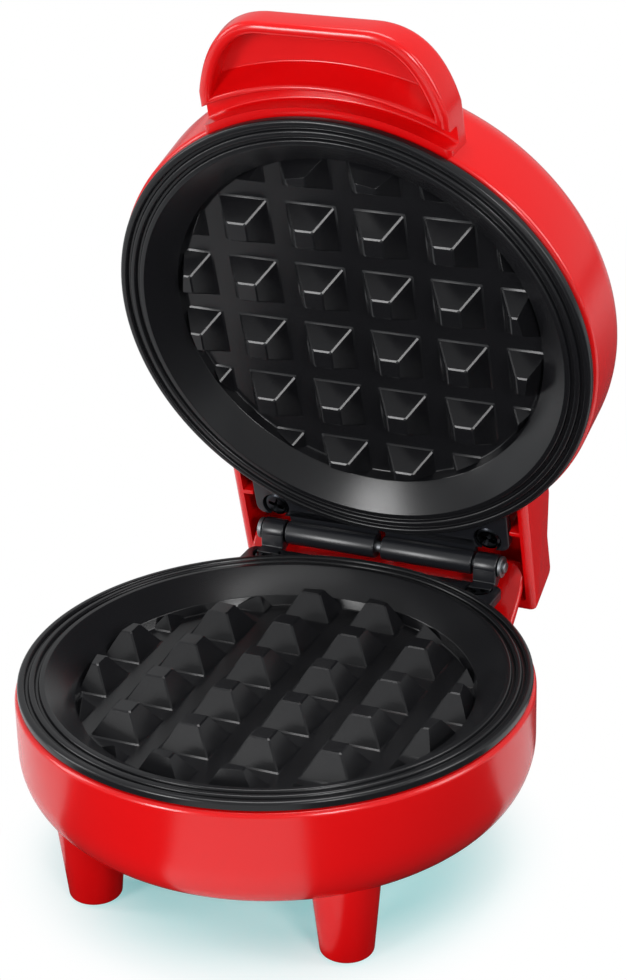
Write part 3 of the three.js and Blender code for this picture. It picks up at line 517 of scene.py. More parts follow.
def apron():
    axis = PARTING_HEIGHT + HINGE_RISE
    foot_y = math.sqrt(CASING_RADIUS ** 2 - APRON_HALF ** 2) - 1.0
    top = (HINGE_Y + 4.6, axis - 2.0)
    inner = bend((foot_y, axis - 18.4), (HINGE_Y - 0.6, axis - 12.8), top)
    outer = bend((top[0] + 2.5, top[1] - 0.5), (HINGE_Y + 1.5, axis - 15.0), (foot_y, axis - 21.0))
    lip = [(top[0] + 0.5, top[1] + 0.95), (top[0] + 1.3, top[1] + 1.2), (top[0] + 2.1, top[1] + 0.75)]
    side = [(y, below(z)) for y, z in inner + lip + outer]
    wall = moved(prism("apron", side, -APRON_HALF, APRON_HALF, 0.8, 0.8), ACROSS_WIDTH)
    top_h, low_h = below(top[1] + 1.3), below(axis - 30)
    view = rounded([(-APRON_HALF - 1, low_h, 0), (APRON_HALF + 1, low_h, 0),
                    (APRON_HALF + 0.2, top_h, APRON_CORNER),
                    (-APRON_HALF - 0.2, top_h, APRON_CORNER)], steps=8)
    return common(wall, moved(prism("apron_view", view, 30, 90), FACING_BACK))


base_apron = apron()
depths = [v.co.z for v in base_apron.data.vertices]
print("apron height:", round(max(depths) - min(depths), 1))

# %% [markdown]
# Helpers for the cuts: a plain block and rod, a turn that points a rod to the back, and the
# space that the bowl fills, a skin smaller, which trims what stands inside it.

# %% Cutters and the space of the bowl
SKIN = 0.2


def block(name, x, y, z):
    outline = [(x[0], y[0]), (x[1], y[0]), (x[1], y[1]), (x[0], y[1])]
    return stacked(name, [(outline, z[0]), (outline, z[1])])


def rod(name, radius, low, high, spot=(0, 0), steps=48):
    return moved(turned(name, [(0, low), (radius, low), (radius, high), (0, high)], steps),
                 Matrix.Translation((spot[0], spot[1], 0)))


def towards_back(piece, height):
    return moved(piece, Matrix.Translation((0, 0, height)) @ Matrix.Rotation(-math.pi / 2, 4, "X"))


def bowl_solid(depth, straight):
    corner = [(CASING_RADIUS - CORNER_REACH + CORNER_REACH * math.cos(a) - SKIN,
               straight + (depth - straight) * math.sin(a) - SKIN)
              for a in [math.pi / 2 * k / 16 for k in range(17)]]
    return [(0, RIM_DROP), (CASING_RADIUS - SKIN, RIM_DROP)] + corner + [(0, depth - SKIN)]

# %% [markdown]
# The bowl is cut away at the back where the black bracket passes, under each plate screw,
# and where the cord bush sits. Hollow pillars inside guide the three long screws.
# Each cutter is a Boolean modifier of its own, and all are applied together. Then bowl, legs,
# pillars, boss and apron become one red piece, as the real base comes out of one mould.

# %% Base: cuts and joining
FIT, SLOT_FRONT = 0.3, 42
INLET_DEPTH, INLET_RADIUS, INLET_START, INLET_END = 23.4, 4.5, 40, 70
BOSS_RADIUS, BOSS_START, BOSS_END = 6.6, 49, 60.8
PILLAR_RING, PILLAR_RADIUS, PILLAR_TOP = 50, 4.6, 14.5
WELL_RADIUS, WELL_FLOOR, SCREW_PASSAGE = 3.5, 25.7, 1.7
PILLAR_SPOTS = [(PILLAR_RING * math.cos(math.radians(a)), PILLAR_RING * math.sin(math.radians(a)))
                for a in (-90, 30, 150)]

slot = block("bracket_slot", (-BRACKET_HALF - FIT, BRACKET_HALF + FIT), (SLOT_FRONT, HINGE_Y),
             (-1, BRACKET_DEPTH + FIT))
wells = [rod(f"screw_well_{i}", WELL_RADIUS, WELL_FLOOR, BASE_DEPTH + 2, spot)
         for i, spot in enumerate(PILLAR_SPOTS)]
inlet_hole = towards_back(rod("inlet_hole", INLET_RADIUS, INLET_START, INLET_END), INLET_DEPTH)
inlet_bore = towards_back(rod("inlet_bore", INLET_RADIUS, INLET_START, INLET_END), INLET_DEPTH)
inlet_boss = towards_back(softened(rod("inlet_boss", BOSS_RADIUS, BOSS_START, BOSS_END), 0.5), INLET_DEPTH)
cut(base_bowl, slot, *wells, inlet_hole)
cut(inlet_boss, inlet_bore)
pillars = []
for i, spot in enumerate(PILLAR_SPOTS):
    tube = turned(f"pillar_{i}", [
        (SCREW_PASSAGE, PILLAR_TOP), (PILLAR_RADIUS, PILLAR_TOP), (PILLAR_RADIUS, BASE_DEPTH),
        (WELL_RADIUS, BASE_DEPTH), (WELL_RADIUS, WELL_FLOOR), (SCREW_PASSAGE, WELL_FLOOR)], 48)
    moved(tube, Matrix.Translation((spot[0], spot[1], 0)))
    pillars.append(common(tube, turned(f"bowl_solid_{i}", bowl_solid(BASE_DEPTH, BASE_STRAIGHT), 96)))
base_casing = joined("base_casing", base_bowl, base_apron, inlet_boss, *legs, *pillars)
finished(base_casing, BASE_PLACE, red_abs, "base", ["base_shell"])

# %% [markdown]
# ## Lid
# The lid is the same round moulding with two additions: a handle in front, with a pocket
# for the fingers underneath, and a hinge housing at the back. The handle is a tab whose
# sides flare a little from the rim to the top, and whose edges are rounded at both. It could
# be one prism with a bevel, but a stack of outlines lets each layer have its own width.

# %% Handle body
LID_DEPTH, LID_STRAIGHT, LID_CROWN = 30.8, 16.8, 0.8
HANDLE_TOP, HANDLE_EDGE = 12.2, 2.4
HANDLE_ROOT_Y, HANDLE_WAIST_Y = -50.0, -62.0
LIP_WIDTH, LIP_HEIGHT, LIP_FLARE = 1.8, 1.4, 0.4


def handle_outline(reach, shoulder, corner, front=12.5):
    right = bend((shoulder, HANDLE_WAIST_Y), (corner, -reach), (front, -reach), 20)
    left = [(-x, y) for x, y in reversed(right)]
    return [(shoulder + 0.2, HANDLE_ROOT_Y)] + right + left + [(-shoulder - 0.2, HANDLE_ROOT_Y)]


def handle_body():
    rim_line = handle_outline(reach=81.0, shoulder=29.6, corner=25.0)
    top_line = handle_outline(reach=80.2, shoulder=30.6, corner=26.8)
    layers = []
    for k in range(7):
        angle = math.pi / 2 * k / 6
        layers.append((inset(rim_line, LIP_WIDTH * (1 - math.sin(angle)) - LIP_FLARE),
                       RIM_DROP + LIP_HEIGHT * (1 - math.cos(angle))))
    for k in range(9):
        angle = math.pi / 2 * k / 8
        layers.append((inset(top_line, HANDLE_EDGE * (1 - math.cos(angle))),
                       HANDLE_TOP - HANDLE_EDGE * (1 - math.sin(angle))))
    return stacked("handle", layers)


handle = handle_body()
print("handle reach, mm:", round(-min(v.co.y for v in handle.data.vertices), 1))

# %% [markdown]
# The finger pocket is one cutter: a smaller outline under a ceiling that climbs steeply from
# the inner lip to a crease and then runs on to the front wall. Several plain cutters would
# leave steps where they meet. The cutter widens at its mouth, which rounds the rim on the
# inside too. A moulding channel runs between rim and inner lip.

# %% Handle pocket and channel
MOUTH_ROUND, ROOF_ROUND, ROOF_WALL = 0.8, 1.6, 2.5
LIP_INNER, CHANNEL_OUTER, CHANNEL_INNER, CHANNEL_DEPTH = 66.3, 65.9, 61.2, 6.8
LID_SPACE_RADIUS = 58.5


def finger_pocket():
    roof = HANDLE_TOP - ROOF_WALL
    outline = handle_outline(reach=78.6, shoulder=26.8, corner=22.4)
    layers = [(inset(outline, -MOUTH_ROUND), -2.0)]
    for k in range(5):
        angle = math.pi / 2 * k / 4
        layers.append((inset(outline, -MOUTH_ROUND * (1 - math.sin(angle))),
                       RIM_DROP + MOUTH_ROUND * (1 - math.cos(angle))))
    for k in range(6):
        angle = math.pi / 2 * k / 5
        layers.append((inset(outline, ROOF_ROUND * (1 - math.cos(angle))),
                       roof - ROOF_ROUND * (1 - math.sin(angle))))
    sweep = turned("pocket_sweep", rounded([
        (LIP_INNER, -3, 0), (LIP_INNER, RIM_DROP, 0), (66.55, 2.75, 0), (66.8, 3.2, 0), (67.0, 3.8, 0),
        (69.8, roof - 1.4, 0.5), (86, roof + 0.6, 0), (86, -3, 0)]))
    return common(stacked("pocket_plan", layers), sweep)


channel = turned("handle_channel", rounded([
    (CHANNEL_INNER, -2, 0), (CHANNEL_OUTER, -2, 0), (CHANNEL_OUTER, RIM_DROP, 0), (65.65, 2.75, 0),
    (65.4, 3.2, 0), (65.3, 3.8, 0), (65.3, CHANNEL_DEPTH, 0.6), (CHANNEL_INNER, CHANNEL_DEPTH, 0.6)]))
cut(handle, finger_pocket(), channel, rod("lid_space", LID_SPACE_RADIUS, -5, 40, steps=ROUND_STEPS))
print("handle faces:", len(handle.data.polygons))

# %% [markdown]
# The hinge housing is a box with rounded edges, open below, that swings round the apron.
# It is made solid first and hollowed by a smaller copy of itself, which gives a wall without
# a Solidify modifier's trouble at tight corners. The part that would stand inside the round
# lid is cut off along the casing wall. Its side view is drawn again for each step of the
# rounded ends, because its foot corner is tighter than that rounding.

# %% Hinge housing
HOUSING_HALF = 39.4
HOUSING_BACK = HINGE_Y + 15.0
HOUSING_DRAFT = 2.3
HOUSING_HEIGHT = 16.2
HOUSING_EDGE = 3.0
SHOULDER_Y, SHOULDER_HEIGHT = 54, 20.0
HOUSING_FRONT = 42
FOOT_ROUND, LEAST_ROUND, VALLEY_ROUND = 0.9, 0.05, 4.0
END_SHARE = 0.6


def housing_side(wall, low, inwards):
    back, edge = HOUSING_BACK - wall - inwards, HOUSING_EDGE - wall / 2 - inwards
    top, shoulder = HOUSING_HEIGHT - wall - inwards, SHOULDER_HEIGHT - wall - inwards
    foot = max(FOOT_ROUND - wall - inwards, LEAST_ROUND)
    return rounded([(HOUSING_FRONT, low + inwards, 0), (back, low + inwards, foot),
                    (back - HOUSING_DRAFT, top, edge), (HINGE_Y, top, VALLEY_ROUND + inwards),
                    (SHOULDER_Y, shoulder, edge), (HOUSING_FRONT, shoulder, 0)])


def housing_block(name, wall, low):
    half, ease = HOUSING_HALF - wall, END_SHARE * (HOUSING_EDGE - wall / 2)
    solid = prism(name, housing_side(wall, low, 0), -half, half, ease, ease,
                  smaller=lambda _, inwards: housing_side(wall, low, inwards))
    return moved(solid, ACROSS_WIDTH)

# %% [markdown]
# The dome gets its openings for the housing and the indicator lens, and two ribs stand in
# the housing beside the bracket, where the open lid shows them. The housing's own hollow
# shape cuts the dome, so that the two always fit. Dome, housing, handle and ribs become one
# red piece.

# %% Lid: cuts and joining
LENS_Y, LENS_HOLE_RADIUS = -24, 4.5
HOUSING_FIT_RADIUS = 57.9
RIB_INNER, RIB_OUTER, RIB_Y, RIB_END = 34.3, 37.2, (54.5, 55.7), 18
housing = housing_block("housing", 0.0, RIM_DROP)
cut(housing, housing_block("housing_space", CASING_WALL, -4),
    rod("dome_space", HOUSING_FIT_RADIUS, -5, 40, steps=ROUND_STEPS))
dome = turned("lid_dome", casing_profile(LID_DEPTH, LID_STRAIGHT, LID_CROWN))
cut(dome, housing_block("dome_opening", CASING_WALL, -4),
    rod("lens_hole", LENS_HOLE_RADIUS, LID_DEPTH - 6, LID_DEPTH + 2, (0, LENS_Y)))
ribs = [softened(block(f"rib_{side}", sorted((side * RIB_INNER, side * RIB_OUTER)), RIB_Y,
                       (RIM_DROP, RIB_END)), 0.2) for side in (-1, 1)]
lid_casing = joined("lid_casing", dome, housing, handle, *ribs)
finished(lid_casing, LID_PLACE, red_abs, "lid", ["lid_shell"])

# %% [markdown]
# ## Grid plates
# A grid plate is a shallow dish with two fine grooves in its flange and a field of knobs.
# The dish is turned. The knobs follow a rule, so Geometry Nodes set them out: one knob
# is repeated on a square grid, those outside the bed are left out, and the outermost are
# trimmed by a cone. It narrows towards the knobs' tips, so that the casting leaves its die.
# A knob is a flat-topped pyramid with a fine chamfer at its tip and a flare at its foot.

# %% One knob
KNOB_PITCH, KNOB_ROWS = 17.1, 6
KNOB_TIP_HALF, KNOB_FOOT_HALF, KNOB_CORNER = 2.45, 6.15, 0.36
KNOB_TIP_DEPTH, BED_DEPTH = 1.9, 7.8
TIP_CHAMFER, FOOT_FLARE, FOOT_SINK = 0.25, 0.32, 0.8


def rounded_square(half, radius, steps=4):
    return rounded([(-half, -half, radius), (half, -half, radius), (half, half, radius),
                    (-half, half, radius)], steps)


def knob():
    def half_at(depth):
        slope = (KNOB_FOOT_HALF - KNOB_TIP_HALF) * (depth - KNOB_TIP_DEPTH) / (BED_DEPTH - KNOB_TIP_DEPTH)
        return KNOB_TIP_HALF + slope

    steps = [(KNOB_TIP_DEPTH, -TIP_CHAMFER), (KNOB_TIP_DEPTH + TIP_CHAMFER, 0), (BED_DEPTH - TIP_CHAMFER, 0),
             (BED_DEPTH + 0.02, FOOT_FLARE), (BED_DEPTH + FOOT_SINK, FOOT_FLARE)]
    return stacked("knob", [(rounded_square(half_at(depth) + grow, KNOB_CORNER, 1), depth)
                            for depth, grow in steps])


one_knob = knob()
print("faces in one knob:", len(one_knob.data.polygons))

# %% [markdown]
# The tree has named inputs for its sizes. Grid points become instances, a comparison keeps
# the knobs whose nearest corner lies inside the field, and a Boolean with a steep cone trims
# them. Realize Instances comes before it, because a Boolean needs real faces. A double loop
# in Python could place the knobs too, but here the pitch or the rows can be changed on the
# modifier and the field follows.

# %% Knob field as Geometry Nodes
FIELD_RADIUS, FIELD_DRAFT = 46.2, 0.475
CUTTER_TO_TIPS, CUTTER_PAST_BED = 12.0, 4.0


def knob_field_tree():
    tree = bpy.data.node_groups.new("knob_field", "GeometryNodeTree")
    ports = tree.interface
    ports.new_socket("Geometry", in_out="OUTPUT", socket_type="NodeSocketGeometry")
    for name, value in (("Pitch", KNOB_PITCH), ("Knob Half Width", KNOB_FOOT_HALF),
                        ("Field Radius", FIELD_RADIUS)):
        ports.new_socket(name, in_out="INPUT", socket_type="NodeSocketFloat").default_value = value
    ports.new_socket("Rows", in_out="INPUT", socket_type="NodeSocketInt").default_value = KNOB_ROWS
    ports.new_socket("Knob", in_out="INPUT", socket_type="NodeSocketObject")
    ports.new_socket("Coating", in_out="INPUT", socket_type="NodeSocketMaterial")
    given = add_node(tree, "NodeGroupInput").outputs
    gaps = add_node(tree, "ShaderNodeMath", {0: given["Rows"], 1: 1.0}, operation="SUBTRACT")
    width = add_node(tree, "ShaderNodeMath", {0: gaps.outputs[0], 1: given["Pitch"]}, operation="MULTIPLY")
    grid = add_node(tree, "GeometryNodeMeshGrid", {
        "Size X": width.outputs[0], "Size Y": width.outputs[0],
        "Vertices X": given["Rows"], "Vertices Y": given["Rows"]})
    spot = add_node(tree, "GeometryNodeInputPosition")
    size = add_node(tree, "ShaderNodeVectorMath", {0: spot.outputs[0]}, operation="ABSOLUTE")
    corner = add_node(tree, "ShaderNodeCombineXYZ", {
        "X": given["Knob Half Width"], "Y": given["Knob Half Width"]})
    nearest = add_node(tree, "ShaderNodeVectorMath", {0: size.outputs[0], 1: corner.outputs[0]},
                       operation="SUBTRACT")
    reach = add_node(tree, "ShaderNodeVectorMath", {0: nearest.outputs[0]}, operation="LENGTH")
    inside = add_node(tree, "ShaderNodeMath", {0: reach.outputs["Value"], 1: given["Field Radius"]},
                      operation="LESS_THAN")
    shape = add_node(tree, "GeometryNodeObjectInfo", {"Object": given["Knob"]})
    copies = add_node(tree, "GeometryNodeInstanceOnPoints", {
        "Points": grid.outputs["Mesh"], "Selection": inside.outputs[0],
        "Instance": shape.outputs["Geometry"]})
    real = add_node(tree, "GeometryNodeRealizeInstances", {"Geometry": copies.outputs[0]})
    at_tips = add_node(tree, "ShaderNodeMath", {
        0: given["Field Radius"], 1: -FIELD_DRAFT * CUTTER_TO_TIPS}, operation="ADD")
    past_bed = add_node(tree, "ShaderNodeMath", {
        0: given["Field Radius"], 1: FIELD_DRAFT * CUTTER_PAST_BED}, operation="ADD")
    cone = add_node(tree, "GeometryNodeMeshCone", {
        "Vertices": 160, "Radius Bottom": at_tips.outputs[0], "Radius Top": past_bed.outputs[0],
        "Depth": CUTTER_TO_TIPS + CUTTER_PAST_BED})
    trim = add_node(tree, "GeometryNodeTransform", {
        "Geometry": cone.outputs["Mesh"], "Translation": (0, 0, BED_DEPTH - CUTTER_TO_TIPS)})
    trimmed = add_node(tree, "GeometryNodeMeshBoolean", operation="INTERSECT", solver="EXACT")
    for source in (real.outputs[0], trim.outputs["Geometry"]):
        tree.links.new(source, trimmed.inputs["Mesh 2"])
    coated = add_node(tree, "GeometryNodeSetMaterial", {
        "Geometry": trimmed.outputs["Mesh"], "Material": given["Coating"]})
    add_node(tree, "NodeGroupOutput", {"Geometry": coated.outputs[0]})
    return tree


field_tree = knob_field_tree()
print("knob field nodes:", len(field_tree.nodes))

# %% [markdown]
# A tree is run on a small holder object: its modifier gets the values by the inputs' own
# identifiers, the result becomes the holder's mesh, and the modifier is taken off.
# The knob field and the turned dish then make one plate, in two copies: one for the lid
# and one, turned over, for the base.

# %% Both plates
BED_RADIUS = 45.5
FLANGE_FACE, FLANGE_BACK = 0.3, 2.3
GROOVE_FLOOR = 1.2


def grown(name, tree, **values):
    holder = new_piece(name, [(0, 0, 0), (1, 0, 0), (0, 1, 0)], [(0, 1, 2)])
    step = holder.modifiers.new("grown", "NODES")
    step.node_group = tree
    for port in tree.interface.items_tree:
        if port.in_out == "INPUT" and port.name in values:
            step[port.identifier] = values[port.name]
    return settled(holder)


def plate_dish():
    bed = [(0, BED_DEPTH, 0), (BED_RADIUS, BED_DEPTH, 0.7), (46.3, 5.4, 0.5), (53.0, FLANGE_FACE, 0.35)]
    grooves = [(54.15, FLANGE_FACE, 0.4), (54.45, GROOVE_FLOOR, 0.2), (55.05, GROOVE_FLOOR, 0.2),
               (55.35, FLANGE_FACE, 0.5), (56.5, FLANGE_FACE, 0.5), (56.8, GROOVE_FLOOR, 0.2),
               (57.4, GROOVE_FLOOR, 0.2), (57.7, FLANGE_FACE, 0.5)]
    edge = [(PLATE_RADIUS, FLANGE_FACE, 0.75), (PLATE_RADIUS, FLANGE_BACK, 0.2)]
    underside = [(54.33, FLANGE_BACK, 0), (47.75, 7.31, 0), (47.75, 10.2, 0), (0, 10.2, 0)]
    return turned("dish", rounded(bed + grooves + edge + underside, closed=False))


plates = {}
for name in ("lower", "upper"):
    field = softened(grown(f"{name}_knobs", field_tree, Knob=one_knob, Coating=nonstick), 0.22, 45, steps=1)
    plates[name] = joined(f"{name}_grid_plate", plate_dish(), field)
finished(plates["lower"], BASE_PLACE, nonstick, "base", ["lower_plate"], crease=20)
finished(plates["upper"], LID_PLACE, nonstick, "lid", ["upper_plate"], crease=20)
bpy.data.objects.remove(one_knob)

# %% [markdown]
# ## Hinge
# Two black brackets meet on one steel pin. Each is a flat plate under the grid plate with
# barrels or knuckles along its rear edge. The front edge of a plate follows the ledge of the
# casing as an arc. Plates are prisms with softened edges, and a barrel is a round with a
# web, extruded across the width. The hinge stays two pieces, so that each rides on its body.

# %% Bracket plate and barrels
BRACKET_CORNER, BRACKET_SOFTNESS = 2.5, 0.35
SCREW_WELL_RADIUS, SCREW_WELL_DEPTH = 3.6, 1.9


def bracket_plate(name):
    start = math.acos(BRACKET_HALF / LEDGE_RADIUS)
    front = [(LEDGE_RADIUS * math.cos(a), LEDGE_RADIUS * math.sin(a))
             for a in [start + (math.pi - 2 * start) * k / 40 for k in range(41)]]
    ends = rounded([front[-1] + (0,), (-BRACKET_HALF, BRACKET_BACK_Y, BRACKET_CORNER),
                    (BRACKET_HALF, BRACKET_BACK_Y, BRACKET_CORNER), front[0] + (0,)], closed=False)
    plate = softened(prism(name, front + ends[1:-1], BRACKET_FACE, BRACKET_DEPTH), BRACKET_SOFTNESS)
    wells = [rod("well", SCREW_WELL_RADIUS, 0, BRACKET_FACE + SCREW_WELL_DEPTH, spot)
             for spot in SCREW_SPOTS]
    return cut(plate, *wells)


def barrel(name, start, end, rise, web):
    turn = [(HINGE_Y + BARREL_RADIUS * math.cos(a), rise + BARREL_RADIUS * math.sin(a))
            for a in [2 * math.pi * k / 64 for k in range(64)]]
    round_part = softened(moved(prism(name, turn, start, end), ACROSS_WIDTH), BRACKET_SOFTNESS, 60)
    web_part = softened(moved(prism(name + "_web", web, start, end), ACROSS_WIDTH), 0.3, 60)
    return [round_part, web_part]

# %% [markdown]
# The lid's barrels are long and almost meet in the middle, where the pin shows in the gap.
# The base's knuckles are short blocks at both ends that stand on their bracket plate.
# One function makes both kinds, because they differ only in length, height and web.

# %% Both brackets
BARREL_START, BARREL_END = 0.9, 25
KNUCKLE_START, KNUCKLE_END = 25.6, 31.5
near = BRACKET_BACK_Y - 2.6
lid_web = [(near, BRACKET_FACE), (HINGE_Y, BRACKET_FACE), (HINGE_Y, HINGE_RISE + BARREL_RADIUS),
           (near, BRACKET_DEPTH)]
base_web = [(near, BRACKET_FACE), (HINGE_Y - BARREL_RADIUS, BRACKET_FACE),
            (HINGE_Y - BARREL_RADIUS, -HINGE_RISE), (HINGE_Y + BARREL_RADIUS, -HINGE_RISE),
            (HINGE_Y + 1.6, BRACKET_FACE), (HINGE_Y - BARREL_RADIUS, BRACKET_DEPTH), (near, BRACKET_DEPTH)]
lid_barrels = (barrel("barrel_left", -BARREL_END, -BARREL_START, HINGE_RISE, lid_web)
               + barrel("barrel_right", BARREL_START, BARREL_END, HINGE_RISE, lid_web))
lid_bracket = joined("lid_bracket", bracket_plate("lid_bracket_plate"), *lid_barrels)
finished(lid_bracket, LID_PLACE, black_paint, "lid", ["lid_hinge_bracket"])
knuckles = (barrel("knuckle_left", -KNUCKLE_END, -KNUCKLE_START, -HINGE_RISE, base_web)
            + barrel("knuckle_right", KNUCKLE_START, KNUCKLE_END, -HINGE_RISE, base_web))
base_bracket = joined("base_bracket", bracket_plate("base_bracket_plate"), *knuckles)
finished(base_bracket, BASE_PLACE, black_paint, "base", ["base_hinge_bracket"])

# %% [markdown]
# The pin is turned steel with a flat head at one end; a clip ring holds it at the other.
# A Cylinder primitive would have sharp ends, and a turned profile has the small radii of a
# real turned part. Both are turned upright and then laid along the hinge axis.

# %% Pin and clip
PIN_RADIUS, PIN_HEAD_RADIUS = 1.5, 2.7
PIN_HEAD_END, PIN_HEAD_INNER, PIN_TAIL = -32.9, -31.8, 33.4
CLIP_BORE, CLIP_INNER, CLIP_OUTER = 1.65, 31.8, 32.6
TO_AXIS = Matrix.Translation((0, HINGE_Y, -HINGE_RISE)) @ Matrix.Rotation(-math.pi / 2, 4, "Y")
pin_profile = rounded([
    (0, PIN_HEAD_END, 0), (PIN_HEAD_RADIUS, PIN_HEAD_END, 0.4), (PIN_HEAD_RADIUS, PIN_HEAD_INNER, 0.1),
    (PIN_RADIUS, PIN_HEAD_INNER, 0), (PIN_RADIUS, PIN_TAIL, 0.4), (0, PIN_TAIL, 0)], closed=False)
clip_profile = rounded([
    (CLIP_BORE, CLIP_INNER, 0), (PIN_HEAD_RADIUS, CLIP_INNER, 0.15), (PIN_HEAD_RADIUS, CLIP_OUTER, 0.15),
    (CLIP_BORE, CLIP_OUTER, 0)])
pin = moved(turned("pin", pin_profile, 48), TO_AXIS)
clip = moved(turned("clip", clip_profile, 48), TO_AXIS)
finished(pin, BASE_PLACE, zinc_steel, "base", ["hinge_pin"])
finished(clip, BASE_PLACE, zinc_steel, "base", ["hinge_pin_clip"])

# %% [markdown]
# The bracket screws have pan heads with a cross recess, which two crossed wedges cut.
# The recess is cut before the screw is copied, so that the Boolean runs only once, and it
# is turned a little off square, as a tightened screw stops.

# %% One cross screw
HEAD_RADIUS, HEAD_BACK = 3.3, 4.35
SHANK_RADIUS, SHANK_END = 1.25, 10.7
RECESS_TURN = 20


def cross_screw():
    head = turned("screw", rounded([
        (0, 2.75, 0), (2.5, 2.8, 0.6), (HEAD_RADIUS, 3.2, 0.4), (HEAD_RADIUS, HEAD_BACK, 0.1),
        (SHANK_RADIUS, HEAD_BACK, 0), (SHANK_RADIUS, SHANK_END, 0.3), (0, SHANK_END, 0)], closed=False), 48)
    square = rounded_square(1.0, 0.2, 2)
    wide = [(x * 2.1, y * 0.5) for x, y in square]
    deep = [(x * 1.3, y * 0.35) for x, y in square]
    arms = [moved(stacked("arm", [(wide, 2.0), (wide, 2.75), (deep, 4.0)]),
                  Matrix.Rotation(math.radians(turn), 4, "Z")) for turn in (RECESS_TURN, RECESS_TURN + 90)]
    return cut(head, *arms)


screw = cross_screw()
print("screw faces:", len(screw.data.polygons))

# %% [markdown]
# One screw serves four times. A small node tree puts two copies at the ends of a line,
# and the tree is run once for each bracket. Two copies could be placed by hand, but the
# tree keeps their spacing in one input.

# %% Both pairs of screws
def spots_tree():
    tree = bpy.data.node_groups.new("two_screws", "GeometryNodeTree")
    ports = tree.interface
    ports.new_socket("Geometry", in_out="OUTPUT", socket_type="NodeSocketGeometry")
    for name, value in (("Half Spacing", SCREW_HALF_SPACING), ("Distance Back", SCREW_Y)):
        ports.new_socket(name, in_out="INPUT", socket_type="NodeSocketFloat").default_value = value
    ports.new_socket("Screw", in_out="INPUT", socket_type="NodeSocketObject")
    ports.new_socket("Finish", in_out="INPUT", socket_type="NodeSocketMaterial")
    given = add_node(tree, "NodeGroupInput").outputs
    left = add_node(tree, "ShaderNodeMath", {0: given["Half Spacing"], 1: -1.0}, operation="MULTIPLY")
    start = add_node(tree, "ShaderNodeCombineXYZ", {"X": left.outputs[0], "Y": given["Distance Back"]})
    end = add_node(tree, "ShaderNodeCombineXYZ", {"X": given["Half Spacing"], "Y": given["Distance Back"]})
    line = add_node(tree, "GeometryNodeMeshLine", {
        "Count": 2, "Start Location": start.outputs[0], "Offset": end.outputs[0]}, mode="END_POINTS")
    shape = add_node(tree, "GeometryNodeObjectInfo", {"Object": given["Screw"]})
    copies = add_node(tree, "GeometryNodeInstanceOnPoints", {
        "Points": line.outputs["Mesh"], "Instance": shape.outputs["Geometry"]})
    real = add_node(tree, "GeometryNodeRealizeInstances", {"Geometry": copies.outputs[0]})
    painted = add_node(tree, "GeometryNodeSetMaterial", {
        "Geometry": real.outputs[0], "Material": given["Finish"]})
    add_node(tree, "NodeGroupOutput", {"Geometry": painted.outputs[0]})
    return tree


screws_tree = spots_tree()
for body, place in (("base", BASE_PLACE), ("lid", LID_PLACE)):
    pair = grown(f"{body}_cross_screws", screws_tree, Screw=screw, Finish=black_zinc)
    finished(pair, place, black_zinc, body, [f"{body}_bracket_screw_1", f"{body}_bracket_screw_2"])
bpy.data.objects.remove(screw)

# %% [markdown]
# ## Small pieces
# The rubber pads sit in the ends of the legs and touch the table. The cord bush is a soft
# sleeve through the boss, with a collar outside it and a taper towards the cord. Both are
# turned, since each is round, and the bush is then pointed to the back. The base is drawn
# turned over, so a pad for its left side is placed on the right of the drawing.

# %% Pads and bush
PAD_RADIUS, PAD_HEIGHT = 4.2, 2
pad_profile = rounded([(0, below(PAD_HEIGHT), 0), (PAD_RADIUS, below(PAD_HEIGHT), 0.1),
                       (PAD_RADIUS, below(0), 0.4), (0, below(0), 0)], closed=False)
for side, x in (("left", -LEG_X), ("right", LEG_X)):
    for end, y in (("front", -LEG_Y), ("rear", LEG_Y)):
        pad = turned(f"rubber_pad_{end}_{side}", pad_profile, 48)
        finished(moved(pad, Matrix.Translation((-x, y, 0))), BASE_PLACE, black_rubber, "base",
                 [f"foot_pad_{end}_{side}"])
BUSH_BORE, BUSH_NECK, BUSH_COLLAR = 2.6, 4.2, 5.6
bush = turned("cord_sleeve", rounded([
    (BUSH_BORE, 52.1, 0), (BUSH_NECK, 52.1, 0.3), (BUSH_NECK, 61.1, 0), (BUSH_COLLAR, 61.1, 0.3),
    (BUSH_COLLAR, 62.7, 0.6), (4.4, 62.7, 0.4), (3.4, 66.7, 0.4), (BUSH_BORE, 66.7, 0.3)]), 64)
finished(towards_back(bush, INLET_DEPTH), BASE_PLACE, black_rubber, "base", ["cord_bush"])

# %% [markdown]
# The lens is a shallow dome that stands just proud of the lid. A collar inside keeps it from
# falling out, and the tube behind it surrounds the lamp and leads its light to the dome.
# It is one closed solid and not a thin skin, because a lens bends light at both faces.

# %% Lens
LENS_RADIUS, LENS_COLLAR, LENS_BORE = 4.2, 5.8, 2.7
COLLAR_OUTER, COLLAR_INNER, LENS_END = 27.3, 26.3, 22.3
lens = turned("lens_dome", rounded([
    (0, 31.15, 0), (2.4, 31.0, 2.0), (LENS_RADIUS, 30.3, 0.3), (LENS_RADIUS, COLLAR_OUTER, 0),
    (LENS_COLLAR, COLLAR_OUTER, 0.1), (LENS_COLLAR, COLLAR_INNER, 0.1), (LENS_RADIUS, COLLAR_INNER, 0),
    (LENS_RADIUS, LENS_END, 0), (LENS_BORE, LENS_END, 0), (LENS_BORE, COLLAR_OUTER, 0),
    (0, COLLAR_OUTER, 0)], closed=False), 64)
finished(moved(lens, Matrix.Translation((0, LENS_Y, 0))), LID_PLACE, amber_lens, "lid",
         ["indicator_lens"])

# %% [markdown]
# The pieces inside the casings stay as the CAD model has them. Each gets its own finish,
# because they show when somebody opens the model up.

